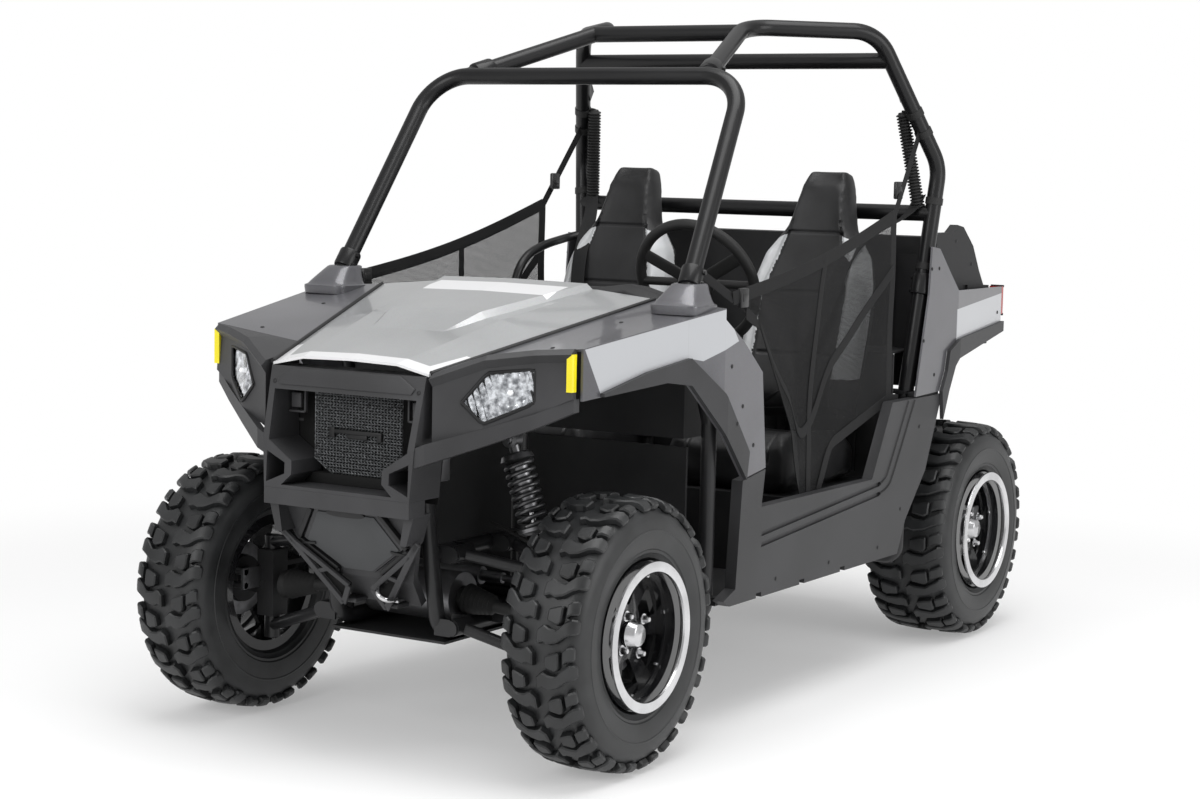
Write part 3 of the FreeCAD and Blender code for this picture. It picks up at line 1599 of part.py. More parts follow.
def sheet_profile(proud):
    """Side profile of the shield, its face moved forward by some distance."""
    return [
        (f"shield_top_x + {proud}", "bar_low_z + panel_thick"),
        (f"nose_low_x + {proud}", "nose_low_z"),
        (f"nose_tip_x + {proud}", "nose_tip_z"),
        (f"nose_tip_x - nose_thick", "nose_tip_z + nose_thick"),
        (f"nose_low_x - nose_thick", "nose_low_z + nose_thick"),
        (f"shield_top_x - nose_thick", "bar_low_z + panel_thick"),
    ]


shield = body("nose_shield")
pad(shield, "y", "-prow_end_half", "prow_end_half", sheet_profile("0"))
trim = [
    ("prow_end_half + cut_reach", "bar_low_z + 2 * panel_thick"),
    ("prow_end_half + cut_reach", "nose_tip_z - cut_reach"),
    ("nose_tip_half", "nose_tip_z - cut_reach"),
    ("nose_tip_half", "nose_tip_z"),
    ("nose_side_half", "nose_side_z"),
    ("nose_side_half", "bar_low_z + 2 * panel_thick"),
]
pocket(shield, "x", "nose_tip_x - cut_reach", "bar_top_x + cut_reach", trim)
pocket(shield, "x", "nose_tip_x - cut_reach", "bar_top_x + cut_reach", flip(trim))
plate_side = body("hex_plate_side")
pad(plate_side, "y", "-prow_end_half", "prow_end_half", sheet_profile("hex_proud"))
plate_face = body("hex_plate_face")
hexagon = [("hex_top_half", "hex_top_z"), ("hex_mid_half", "hex_mid_z"), ("hex_low_half", "hex_low_z")]
pad(plate_face, "x", "nose_tip_x", "bar_top_x", hexagon + flip(hexagon))
hex_plate = shared("hex_plate", plate_side, plate_face)
keep("front_bumper", fused("front_bumper", bumper_bar, shield, hex_plate))

# Rockers below the door openings, with two long grooves and drain notches

rocker = body("rocker_left")
pad(rocker, "y", "body_y - rocker_skin", "body_y", [
    ("door_edge_x", "skin_joint_z - panel_gap"),
    ("sill_front_x", "sill_top_z"),
    ("sill_rear_x", "sill_top_z"),
    ("pillar_in_x", "pillar_z"),
    ("pillar_out_x", "pillar_z"),
    ("pillar_mid_x", "pillar_mid_z"),
    ("pillar_low_x", "pillar_low_z"),
    ("rocker_tail_x", "rocker_low_z"),
    ("rocker_heel_x", "rocker_low_z"),
    ("rocker_nose_x", "rocker_low_z + rocker_nose_rise"),
    ("rocker_front_x", "rocker_front_z"),
    ("arch_low_x", "arch_low_z - panel_gap"),
])
for number in range(2):
    step = f"{number} * groove_pitch"
    pocket(rocker, "y", "body_y - groove_deep", "body_y + groove_deep", [
        ("groove_front_x", f"groove_front_z + {step}"),
        ("groove_rear_x", f"groove_front_z + groove_rise + {step}"),
        ("groove_rear_x", f"groove_front_z + groove_rise + groove_tall + {step}"),
        ("groove_front_x", f"groove_front_z + groove_tall + {step}"),
    ])
for number in range(3):
    middle = f"(notch_front_x - {number} * notch_pitch)"
    pocket(rocker, "y", "body_y - 2 * rocker_skin", "body_y + rocker_skin", [
        (f"{middle} - notch_half", "rocker_low_z - notch_deep"),
        (f"{middle} + notch_half", "rocker_low_z - notch_deep"),
        (f"{middle} + notch_half", "rocker_low_z + notch_deep"),
        (f"{middle} - notch_half", "rocker_low_z + notch_deep"),
    ])
keep("rockers", both("rockers", rocker))

# Rear fenders: skin behind the door, wing over the wheel that draws in to the tail

wing = body("rear_fender_left")
pad(wing, "y", "body_y - panel_thick", "body_y", [
    ("panel_foot_x", "pillar_z + panel_gap"),
    ("panel_heel_x", "panel_heel_z"),
    ("panel_back_x", "panel_back_z"),
    ("panel_lip_x", "panel_lip_z"),
    ("notch_x", "wing_low_z"),
    ("notch_x", "notch_z"),
    ("panel_fall_x", "panel_fall_z"),
    ("panel_crest_x", "panel_crest_z"),
    ("panel_top_x", "panel_top_z"),
    ("panel_waist_x", "panel_waist_z"),
])
loft(wing, "x", [
    ("notch_x", [
        ("body_y - panel_thick", "wing_low_z"),
        ("body_y", "wing_low_z"),
        ("body_y", "notch_z"),
        ("body_y - panel_thick", "notch_z"),
    ]),
    ("tail_x", [
        ("tail_y - panel_thick", "tail_low_z"),
        ("tail_y", "tail_low_z"),
        ("tail_y", "tail_top_z"),
        ("tail_y - panel_thick", "tail_top_z"),
    ]),
])
keep("rear_fenders", both("rear_fenders", wing))

# Cargo box: floor, four walls, side walls shaped in profile and pressed with ribs

box = body("cargo_box")
box_half = "(tail_y - panel_thick - panel_gap)"
box_foot = "bed_frame_z + frame_tube_radius + seat_gap"
pad(box, "y", f"-{box_half}", box_half, [
    ("box_front_x", box_foot),
    ("box_front_x", "box_front_z"),
    ("box_step_x", "box_step_z"),
    ("box_rise_x", "box_step_z"),
    ("box_hump_x", "box_hump_z"),
    ("box_crest_x", "box_crest_z"),
    ("box_turn_x", "box_turn_z"),
    ("box_fall_x", "box_fall_z"),
    ("box_tail_x", "box_tail_z"),
    ("box_rear_x", "box_tail_z"),
    ("box_rear_x", box_foot),
])
pocket(box, "y", f"-{box_half} + box_wall", f"{box_half} - box_wall", [
    ("box_front_x - box_wall", f"{box_foot} + box_floor_thick"),
    ("box_front_x - box_wall", "box_hump_z + cut_reach"),
    ("box_rear_x + box_wall", "box_hump_z + cut_reach"),
    ("box_rear_x + box_wall", f"{box_foot} + box_floor_thick"),
])
for side in (1, -1):
    low, high = sorted((f"{side} * ({box_half} - box_rib_deep)", f"{side} * ({box_half} + box_rib_deep)"),
                       reverse=side < 0)
    for number in range(2):
        middle = f"(box_rib_x - {number} * box_rib_pitch)"
        pocket(box, "y", low, high, [
            (f"{middle} - box_rib_wide / 2", "box_rib_low_z"),
            (f"{middle} + box_rib_wide / 2", "box_rib_low_z"),
            (f"{middle} + box_rib_wide / 2", "box_rib_top_z"),
            (f"{middle} - box_rib_wide / 2", "box_rib_top_z"),
        ])
keep("cargo_box", box)

# Cab: floor, firewall, seat platform, dash

floor = body("cab_floor")
floor_low = "rail_z + frame_tube_radius + seat_gap"
pad(floor, "y", "-floor_half", "floor_half", [
    ("floor_rear_x", floor_low),
    ("firewall_x", floor_low),
    ("firewall_x", "firewall_top_z"),
    ("firewall_x - floor_thick", "firewall_top_z"),
    ("firewall_x - floor_thick", f"{floor_low} + floor_thick"),
    ("floor_rear_x", f"{floor_low} + floor_thick"),
])
keep("cab_floor", floor)

platform = body("seat_platform")
pad(platform, "y", "-floor_half", "floor_half", [
    ("seat_front_x", f"{floor_low} + floor_thick + seat_gap"),
    ("seat_front_x", "seat_low_z - seat_gap"),
    ("floor_rear_x", "seat_low_z - seat_gap"),
    ("floor_rear_x", "seat_low_z - seat_gap - floor_thick"),
    ("seat_front_x - floor_thick", "seat_low_z - seat_gap - floor_thick"),
    ("seat_front_x - floor_thick", f"{floor_low} + floor_thick + seat_gap"),
])
keep("seat_platform", platform)

tilt = math.radians(size("column_tilt"))
down = V(math.cos(tilt), 0, -math.sin(tilt))
hand = V(size("wheel_hand_x"), size("seat_y"), size("wheel_hand_z"))
hub_end = hand + down * size("wheel_hub_deep")
grip = Part.makeTorus(size("wheel_hand_radius"), size("wheel_grip_radius"), hand, down)
hub = rod_shape(hand - down * size("wheel_hub_front"), hub_end, size("wheel_hub_radius"))
steering = grip.fuse(hub)
for turn in (0, 180, 270):
    arm = rod_shape(V(0, size("wheel_hub_radius") / 2, 0), V(0, size("wheel_hand_radius"), 0),
                    size("wheel_spoke_radius"))
    arm.rotate(V(0, 0, 0), V(1, 0, 0), turn)
    arm.rotate(V(0, 0, 0), V(0, 1, 0), size("column_tilt"))
    arm.translate(hand)
    steering = steering.fuse(arm)
keep("steering_wheel", solid("steering_wheel", steering))
column_solid = solid("steering_column", rod_shape(
    hub_end + down * size("run_gap"), hand + down * size("column_length"), size("column_radius")))
keep("steering_column", column_solid)

dash = body("dash_shell")
pad(dash, "y", "-dash_half", "dash_half", [
    ("hood_rear_x - seat_gap", "dash_low_z"),
    ("hood_rear_x - seat_gap", "dash_top_z"),
    ("dash_rear_x + dash_brow", "dash_top_z - dash_edge"),
    ("dash_rear_x", "dash_top_z - dash_fall"),
    ("dash_rear_x + dash_edge", "dash_low_z + dash_knee"),
    ("dash_rear_x + dash_fall", "dash_low_z"),
])
keep("dash", less("dash", dash, column_solid))

# Seats: cushion and reclined bolstered back with its head rest, one pair for each side

cushion = body("seat_cushion_left")
pad(cushion, "y", "seat_y - seat_half", "seat_y + seat_half", [
    ("seat_rear_x", "seat_low_z"),
    ("seat_front_x - cushion_toe / 2", "seat_low_z"),
    ("seat_front_x", "seat_low_z + cushion_toe"),
    ("seat_front_x", "seat_top_z - seat_front_drop - cushion_toe"),
    ("seat_front_x - cushion_toe", "seat_top_z - seat_front_drop / 3"),
    ("seat_front_x - 3 * cushion_toe", "seat_top_z"),
    ("back_low_x + seat_back_thick / 2", "seat_top_z - cushion_heel_drop"),
    ("seat_rear_x", "seat_top_z - cushion_heel_drop"),
])
keep("seat_cushions", both("seat_cushions", cushion))
back = body("seat_back_left")


def back_section(z, x, half, thick, bolster):
    """Plan outline of the seat back at one height, its side bolsters standing forward."""
    back_face = f"{x} - {thick} / 2"
    front_face = f"{x} + {thick} / 2"
    return (z, [
        (back_face, f"seat_y - {half}"),
        (f"{front_face} + {bolster}", f"seat_y - {half}"),
        (f"{front_face} + {bolster}", f"seat_y - 0.8 * {half}"),
        (front_face, f"seat_y - 0.55 * {half}"),
        (front_face, f"seat_y + 0.55 * {half}"),
        (f"{front_face} + {bolster}", f"seat_y + 0.8 * {half}"),
        (f"{front_face} + {bolster}", f"seat_y + {half}"),
        (back_face, f"seat_y + {half}"),
    ])


loft(back, "z", [
    back_section("seat_top_z - cushion_heel_drop + seat_gap", "back_low_x", "seat_half", "seat_back_thick", "0"),
    back_section("back_waist_z", "back_waist_x", "seat_half", "seat_back_thick", "seat_bolster"),
    back_section("shoulder_z", "shoulder_x", "shoulder_half", "seat_back_thick", "seat_bolster"),
    back_section("neck_z", "neck_x", "neck_half", "headrest_thick", "0"),
    back_section("headrest_z", "headrest_x", "headrest_half", "headrest_thick", "0"),
])
keep("seat_backs", both("seat_backs", back))

# Side nets: from the hoop's foot to the rear leg, beside the seats

net = body("side_net_left")
net_y = "(body_y - rocker_skin - seat_gap)"
pad(net, "y", f"{net_y} - net_thick", net_y, [
    ("net_tip_x", "net_tip_z"),
    ("net_front_x", "net_front_z"),
    ("net_low_x", "net_low_z"),
    ("net_foot_x", "net_foot_z"),
    ("net_heel_x", "net_foot_z"),
    ("net_back_x", "net_back_z"),
    ("net_leg_x", "net_leg_z"),
    ("net_rear_x", "net_rear_z"),
])
keep("side_net_left", net)
keep("side_net_right", mirrored("side_net_right", net))

# Engine block, radiator and muffler

between_half = "(rail_y - frame_tube_radius - seat_gap)"
keep("engine", block("engine", ("engine_rear_x", f"-{between_half}", "engine_low_z"),
                     ("engine_front_x", between_half, "engine_top_z")))
radiator_x = "nose_top_x - frame_bend + frame_tube_radius + seat_gap"
keep("radiator", block("radiator", (radiator_x, f"-{between_half}", "radiator_low_z"),
                       (f"{radiator_x} + radiator_depth", between_half, "radiator_high_z")))
muffler_x = rear_end + frame_r + size("seat_gap") + size("muffler_radius")
keep("muffler", solid("muffler", across_at(
    muffler_x, size("muffler_z"), size("muffler_half"), size("muffler_radius"))))

# Tail lamps behind the rear edges of the wings

lamp = body("tail_lamp")
pad(lamp, "x", "tail_x - lamp_deep", "tail_x - seat_gap", [
    ("tail_y - lamp_wide", "tail_top_z - lamp_tall"),
    ("tail_y", "tail_top_z - lamp_tall"),
    ("tail_y", "tail_top_z"),
    ("tail_y - lamp_wide", "tail_top_z"),
])
keep("tail_lamps", both("tail_lamps", lamp))
doc.recompute()

failed = []
for thing in doc.Objects:
    if "Invalid" in thing.State or "Error" in thing.State:
        failed.append(thing.Name)
for name, thing in nodes.items():
    if thing.Shape.isNull() or not thing.Shape.isValid():
        failed.append(name)
if failed:
    raise SystemExit("failed: " + ", ".join(failed))

os.makedirs("parts", exist_ok=True)
for name, thing in nodes.items():
    thing.Shape.exportStep(f"parts/{name}.step")
    print(name, len(thing.Shape.Solids), round(thing.Shape.Volume / 1000))
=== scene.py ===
# Side by side utv: two-seat off-road vehicle with a tubular cage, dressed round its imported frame.
import bpy
import math
from mathutils import Matrix, Vector


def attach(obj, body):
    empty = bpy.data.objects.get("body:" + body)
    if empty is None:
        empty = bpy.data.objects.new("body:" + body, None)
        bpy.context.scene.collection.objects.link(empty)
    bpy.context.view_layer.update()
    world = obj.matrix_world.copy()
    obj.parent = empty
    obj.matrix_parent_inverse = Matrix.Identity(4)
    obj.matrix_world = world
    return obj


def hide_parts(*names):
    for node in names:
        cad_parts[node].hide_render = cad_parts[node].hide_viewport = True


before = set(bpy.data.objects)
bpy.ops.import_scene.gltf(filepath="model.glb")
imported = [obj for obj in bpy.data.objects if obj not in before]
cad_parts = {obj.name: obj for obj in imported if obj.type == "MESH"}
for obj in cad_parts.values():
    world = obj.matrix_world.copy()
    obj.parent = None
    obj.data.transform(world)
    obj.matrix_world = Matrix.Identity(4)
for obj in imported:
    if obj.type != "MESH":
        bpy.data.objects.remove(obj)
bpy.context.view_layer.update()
bpy.ops.object.select_all(action="DESELECT")
scene = bpy.context.scene

# Studio: camera at the photograph's place, white world, pale floor and three soft lamps.
# The floor fades into the white of the world well behind the vehicle.
scene.view_settings.view_transform = "Standard"
yaw, pitch, roll = math.radians(211.54), math.radians(-5.92), math.radians(1.25)
ahead = Vector((math.cos(yaw) * math.cos(pitch), math.sin(yaw) * math.cos(pitch), math.sin(pitch)))
level = ahead.cross(Vector((0, 0, 1))).normalized()
upright = level.cross(ahead)
side_axis = level * math.cos(roll) + upright * math.sin(roll)
up_axis = upright * math.cos(roll) - level * math.sin(roll)
bpy.ops.object.camera_add()
camera = bpy.context.object
camera_place = Matrix((side_axis, up_axis, -ahead)).transposed().to_4x4()
camera_place.translation = Vector((5.379, 3.2147, 1.3772))
camera.matrix_world = camera_place
camera.data.lens = 69.144
camera.data.sensor_width = 36
camera.data.shift_x = -0.0053
camera.data.shift_y = 0.0016
camera.data.clip_end = 300
scene.camera = camera


def lamp(name, place, aim, size, power):
    """Square soft lamp that looks from one point at another."""
    bpy.ops.object.light_add(type="AREA", location=place)
    light = bpy.context.object
    light.name = name
    light.data.shape = "SQUARE"
    light.data.size = size
    light.data.energy = power
    light.rotation_euler = (Vector(aim) - Vector(place)).to_track_quat("-Z", "Y").to_euler()


lamp("lamp_overhead", (0.6, 0.9, 5.2), (0.1, 0.0, 0.6), 4.0, 205)
lamp("lamp_front", (5.4, -0.6, 2.9), (0.6, 0.0, 0.6), 2.6, 85)
lamp("lamp_side", (0.2, 5.6, 2.4), (-0.1, 0.0, 0.7), 3.0, 95)


def node_in(tree, kind, **settings):
    """New node of a material or of the world; settings name its inputs, with _ for a space."""
    made = tree.nodes.new("ShaderNode" + kind)
    for name, value in settings.items():
        made.inputs[name.replace("_", " ")].default_value = value
    return made


def linked(tree, *pairs):
    """Links outputs to inputs, given in pairs."""
    for start, end in pairs:
        tree.links.new(start, end)


world = bpy.data.worlds.new("studio_world")
scene.world = world
world.use_nodes = True
sky = world.node_tree
back = sky.nodes["Background"]
back.inputs["Color"].default_value = (1, 1, 1, 1)
seen = node_in(sky, "LightPath")
either = node_in(sky, "Math")
either.operation = "MAXIMUM"
strength = node_in(sky, "MapRange", To_Min=0.55, To_Max=1.0)
linked(sky, (seen.outputs["Is Camera Ray"], either.inputs[0]), (seen.outputs["Is Transmission Ray"],
                                                                either.inputs[1]),
       (either.outputs[0], strength.inputs["Value"]), (strength.outputs["Result"], back.inputs["Strength"]))

bpy.ops.mesh.primitive_circle_add(vertices=96, radius=120, fill_type="NGON", location=(0, 0, -0.001))
floor = bpy.context.object
floor.name = "studio_floor"
floor_look = bpy.data.materials.new("studio_floor")
floor_look.use_nodes = True
tree = floor_look.node_tree
shader = tree.nodes["Principled BSDF"]
shader.inputs["Base Color"].default_value = (0.9, 0.9, 0.9, 1)
shader.inputs["Roughness"].default_value = 0.85
shader.inputs["Specular IOR Level"].default_value = 0.2
spot = node_in(tree, "TexCoord")
reach = node_in(tree, "VectorMath")
reach.operation = "LENGTH"
fade_start, fade_end = 1.75, 3.6
fade = node_in(tree, "MapRange", From_Min=fade_start, From_Max=fade_end, To_Min=0.3)
fade.interpolation_type = "SMOOTHSTEP"
glow = node_in(tree, "Emission")
blend = node_in(tree, "MixShader")
linked(tree, (spot.outputs["Object"], reach.inputs[0]), (reach.outputs["Value"], fade.inputs["Value"]),
       (fade.outputs["Result"], blend.inputs["Fac"]), (shader.outputs["BSDF"], blend.inputs[1]),
       (glow.outputs["Emission"], blend.inputs[2]),
       (blend.outputs["Shader"], tree.nodes["Material Output"].inputs["Surface"]))
floor.data.materials.append(floor_look)

# Finishes of the metal and moulded parts: each surface has its own grain, sheen and light soiling.
# They are sprayed, moulded or machined finishes, read from the place on the part, not from a picture.


def finish_of(name, low, high, rough, metal=0.0, grain=0.0, scale=900.0, coat=0.0, patch=6.0, fleck=0.0):
    """Finish between two tones: broad patches, a fine grain in the relief and, if asked, metal flecks."""
    look = bpy.data.materials.new(name)
    look.use_nodes = True
    tree = look.node_tree
    shader = tree.nodes["Principled BSDF"]
    for setting, value in (("Metallic", metal), ("Coat Weight", coat), ("Coat Roughness", 0.06),
                           ("Specular IOR Level", 0.35)):
        shader.inputs[setting].default_value = value
    place = node_in(tree, "TexCoord").outputs["Object"]
    cloud = node_in(tree, "TexNoise", Scale=patch, Detail=5)
    tone = node_in(tree, "ValToRGB")
    for stop, position, color in zip(tone.color_ramp.elements, (0.36, 0.66), (low, high)):
        stop.position = position
        stop.color = (*color, 1)
    dull = node_in(tree, "MapRange", To_Min=rough * 0.85, To_Max=min(1.0, rough * 1.2))
    linked(tree, (place, cloud.inputs["Vector"]), (cloud.outputs["Fac"], tone.inputs["Fac"]),
           (tone.outputs["Color"], shader.inputs["Base Color"]), (cloud.outputs["Fac"], dull.inputs["Value"]),
           (dull.outputs["Result"], shader.inputs["Roughness"]))
    if fleck:
        sparkle = node_in(tree, "TexVoronoi", Scale=1500)
        lift = node_in(tree, "MixRGB", Fac=fleck)
        lift.blend_type = "OVERLAY"
        grey = node_in(tree, "HueSaturation", Saturation=0.5)
        linked(tree, (place, sparkle.inputs["Vector"]), (tone.outputs["Color"], lift.inputs[1]),
               (sparkle.outputs["Color"], lift.inputs[2]), (lift.outputs["Color"], grey.inputs["Color"]),
               (grey.outputs["Color"], shader.inputs["Base Color"]))
    if grain:
        fine = node_in(tree, "TexNoise", Scale=scale, Detail=2)
        relief = node_in(tree, "Bump", Strength=grain, Distance=0.0006)
        linked(tree, (place, fine.inputs["Vector"]), (fine.outputs["Fac"], relief.inputs["Height"]),
               (relief.outputs["Normal"], shader.inputs["Normal"]))
    return look


def adjust(look, setting, value):
    """Sets one input of a finish's shader."""
    look.node_tree.nodes["Principled BSDF"].inputs[setting].default_value = value


def dress(look, *names):
    """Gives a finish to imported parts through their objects' own slots."""
    for name in names:
        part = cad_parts[name]
        for place in part.material_slots:
            place.link = "OBJECT"
            place.material = look


wheel_black = finish_of("wheel_black", (0.006, 0.006, 0.007), (0.014, 0.014, 0.015), 0.2, 0.0, 0.05, 500, 0.8)
tyre_rubber = finish_of(
    "tyre_rubber", (0.0085, 0.009, 0.0095), (0.02, 0.021, 0.022), 0.43, 0.0, 0.35, 700, 0.0, 14)
cast_iron = finish_of("cast_iron", (0.03, 0.03, 0.031), (0.06, 0.06, 0.062), 0.6, 0.5, 0.6, 420)
bar_steel = finish_of("bar_steel", (0.32, 0.32, 0.33), (0.45, 0.45, 0.46), 0.3, 1.0, 0.1, 900)
cast_alloy = finish_of("cast_aluminium", (0.16, 0.16, 0.165), (0.26, 0.26, 0.27), 0.45, 0.9, 0.5, 420)
frame_paint = finish_of(
    "frame_paint", (0.008, 0.008, 0.009), (0.017, 0.017, 0.018), 0.42, 0.0, 0.15, 700, 0.15)
damper_steel = finish_of("damper_steel", (0.16, 0.16, 0.165), (0.28, 0.28, 0.29), 0.34, 0.95, 0.15, 800)
shaft_rubber = finish_of("boot_rubber", (0.012, 0.012, 0.012), (0.024, 0.024, 0.024), 0.6, 0.0, 0.2, 600)
skid_sheet = finish_of("skid_plastic", (0.014, 0.014, 0.015), (0.03, 0.03, 0.031), 0.5, 0.0, 0.4, 900)
adjust(tyre_rubber, "Specular IOR Level", 0.5)
cage_gloss = finish_of(
    "cage_gloss", (0.0035, 0.0035, 0.004), (0.006, 0.006, 0.0065), 0.36, 0.0, 0.04, 300, 0.12, 3)
adjust(cage_gloss, "Specular IOR Level", 0.3)
dark_plastic = finish_of(
    "dark_plastic", (0.030, 0.030, 0.0315), (0.044, 0.044, 0.0465), 0.48, 0.0, 0.5, 1100, 0.0, 5)
inner_plastic = finish_of("inner_plastic", (0.011, 0.011, 0.012), (0.02, 0.02, 0.021), 0.55, 0.0, 0.5, 1100)
muffler_steel = finish_of(
    "muffler_steel", (0.18, 0.165, 0.15), (0.3, 0.29, 0.28), 0.42, 1.0, 0.2, 500, 0.0, 9)
grip_rubber = finish_of("grip_rubber", (0.009, 0.009, 0.009), (0.017, 0.017, 0.017), 0.52, 0.0, 0.6, 1400)
red_lens = finish_of("red_lens", (0.28, 0.008, 0.006), (0.42, 0.016, 0.012), 0.16, 0.0, 0.0, 900, 0.7)

# Each wheel's place along and across the vehicle, and half the width of its tyre.
wheels = {"front_left": (0.974, 0.5335, 0.1015), "front_right": (0.974, -0.5335, 0.1015),
          "rear_left": (-0.982, 0.508, 0.127), "rear_right": (-0.982, -0.508, 0.127)}
for corner in wheels:
    dress(wheel_black, "rim_" + corner)
    dress(tyre_rubber, "tyre_" + corner)
dress(cast_iron, "knuckle_left", "knuckle_right", "rear_carriers")
dress(bar_steel, "steering_rack")
dress(cast_alloy, "rack_housing", "final_drives", "engine", "radiator")
dress(frame_paint, "frame", "frame_crossmembers", "cage_towers", "front_arms", "rear_arms")
dress(damper_steel, "front_shocks", "rear_shocks")
dress(shaft_rubber, "half_shafts")
dress(skid_sheet, "skid_plate")
dress(cage_gloss, "cage_front_hoop", "cage_side_left", "cage_side_right", "cage_crossbars")
dress(dark_plastic, "lamp_pods", "front_fascia", "front_bumper", "rockers", "arch_flares")
dress(inner_plastic, "cab_floor", "seat_platform", "dash", "cargo_box")
dress(muffler_steel, "muffler")
dress(grip_rubber, "steering_wheel", "steering_column")
dress(red_lens, "tail_lamps")

# Painted body panels: hood in light silver, fenders in warm metallic grey, both moulded in colour and
# lacquered. The lighter bands are masked and sprayed before the lacquer, on the panels' own surface.


def sum_of(tree, kind, first, second, third=None):
    """One sum of a mask: a number or a link in each place."""
    step = node_in(tree, "Math")
    step.operation = kind
    for slot, value in enumerate((first, second, third)):
        if isinstance(value, (int, float)):
            step.inputs[slot].default_value = value
        elif value is not None:
            tree.links.new(value, step.inputs[slot])
    return step.outputs[0]


def inside_lines(tree, across, along, corners, soft=0.0012):
    """Mask of a convex outline in two of the part's own directions; corners run anticlockwise."""
    mask = None
    for (x0, z0), (x1, z1) in zip(corners, corners[1:] + corners[:1]):
        run, rise = x1 - x0, z1 - z0
        size = math.hypot(run, rise)
        left = sum_of(tree, "MULTIPLY", along, run / size)
        right = sum_of(tree, "MULTIPLY_ADD", across, -rise / size, left)
        depth = sum_of(tree, "ADD", right, (x0 * rise - z0 * run) / size)
        edge = node_in(tree, "MapRange", From_Min=-soft / 2, From_Max=soft / 2)
        tree.links.new(depth, edge.inputs["Value"])
        edge = edge.outputs["Result"]
        mask = edge if mask is None else sum_of(tree, "MINIMUM", mask, edge)
    return mask


def masked(look, bands):
    """Sprays bands on a finish: each is a colour, two axes, outlines and a bound in x and y, or None."""
    tree = look.node_tree
    shader = tree.nodes["Principled BSDF"]
    color = shader.inputs["Base Color"].links[0].from_socket
    axes = node_in(tree, "SeparateXYZ")
    tree.links.new(node_in(tree, "TexCoord").outputs["Object"], axes.inputs["Vector"])
    width = sum_of(tree, "ABSOLUTE", axes.outputs["Y"], None)
    where = {"x": axes.outputs["X"], "y": width, "z": axes.outputs["Z"]}
    for paint, first, second, outlines, bound in bands:
        mask = None
        for corners in outlines:
            spot = inside_lines(tree, where[first], where[second], corners)
            mask = spot if mask is None else sum_of(tree, "MAXIMUM", mask, spot)
        if bound:
            mask = sum_of(tree, "MINIMUM", mask, inside_lines(tree, where["x"], where["y"], bound))
        mix = node_in(tree, "MixRGB")
        mix.inputs[2].default_value = (*paint, 1)
        linked(tree, (mask, mix.inputs["Fac"]), (color, mix.inputs[1]))
        color = mix.outputs["Color"]
    tree.links.new(color, shader.inputs["Base Color"])


silver_white = (0.50, 0.51, 0.53)
hood_paint = finish_of(
    "hood_silver", (0.29, 0.302, 0.31), (0.335, 0.347, 0.356), 0.34, 0.3, 0.03, 900, 0.6, 3, 0.2)
masked(hood_paint, [
    ((0.78, 0.78, 0.79), "x", "y", [[(1.222, -0.3), (1.3, -0.3), (1.3, 0.3), (1.222, 0.3)],
                                   [(1.13, 0.235), (1.26, 0.185), (1.3, 0.35), (1.13, 0.35)]], None),
    ((0.8, 0.8, 0.81), "x", "y", [[(0.64, -0.19), (0.735, -0.19), (0.735, 0.19), (0.64, 0.19)]], None),
])
dress(hood_paint, "hood")
grey_low, grey_high = (0.088, 0.087, 0.104), (0.118, 0.116, 0.137)
fender_paint = finish_of("fender_grey", grey_low, grey_high, 0.34, 0.4, 0.03, 900, 0.45, 4, 0.25)
masked(fender_paint, [(
    silver_white, "x", "z", [[(0.734, 0.929), (1.041, 0.866), (1.095, 0.9660), (0.734, 1.0175)]],
    [(0.734, 0.582), (1.1, 0.5245), (1.1, 0.7), (0.734, 0.7)]),
    (silver_white, "x", "z", [[(0.528, 0.959), (0.677, 0.919), (0.734, 0.929), (0.734, 1.0175),
                               (0.594, 1.0374)]], [(0.52, 0.6045), (0.734, 0.5815), (0.734, 0.7),
                                                   (0.52, 0.7)]),])
dress(fender_paint, "front_fenders")
rear_paint = finish_of("rear_fender_grey", grey_low, grey_high, 0.34, 0.4, 0.03, 900, 0.45, 4, 0.25)
masked(rear_paint, [
    (silver_white, "x", "z", [[(-1.26, 0.9), (-0.79, 0.862), (-0.79, 0.979), (-1.26, 1.008)]],
     [(-1.3, 0.5), (-0.78, 0.5), (-0.78, 0.7), (-1.3, 0.7)]),
])
dress(rear_paint, "rear_fenders")
marker_lens = finish_of("yellow_lens", (0.86, 0.72, 0.0), (0.95, 0.82, 0.01), 0.2, 0.0, 0.0, 900, 0.6)
dress(marker_lens, "marker_lamps")

# Tyres: bias-ply all-terrain tyres of dark rubber, a round carcass with two rows of hooked lugs and a
# row of shoulder lugs that wrap over the edge. Each is moulded in one piece and seated on the rim.
turn_axis = (0, 1, 0)


def chosen(*pieces):
    """Selects pieces alone, the first of them active."""
    bpy.ops.object.select_all(action="DESELECT")
    for piece in pieces:
        piece.select_set(True)
    bpy.context.view_layer.objects.active = pieces[0]


def finished(piece, look, body, smooth=35):
    """Last steps of every new piece: finish, shading and the body that it rides on."""
    piece.data.materials.clear()
    piece.data.materials.append(look)
    chosen(piece)
    bpy.ops.object.shade_smooth_by_angle(angle=math.radians(smooth))
    bpy.ops.object.select_all(action="DESELECT")
    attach(piece, body)
    return piece


def with_edit(piece, *steps):
    """Runs edit mode steps on a whole piece: each is an operator and its settings."""
    chosen(piece)
    bpy.ops.object.mode_set(mode="EDIT")
    for operator, settings in steps:
        bpy.ops.mesh.select_all(action="SELECT")
        operator(**settings)
    bpy.ops.object.mode_set(mode="OBJECT")
    return piece


def applied(piece, kind, **settings):
    """Adds one modifier to a piece and applies it."""
    chosen(piece)
    step = piece.modifiers.new(kind.lower(), kind)
    for key, value in settings.items():
        setattr(step, key, value)
    bpy.ops.object.modifier_apply(modifier=step.name)
    return piece


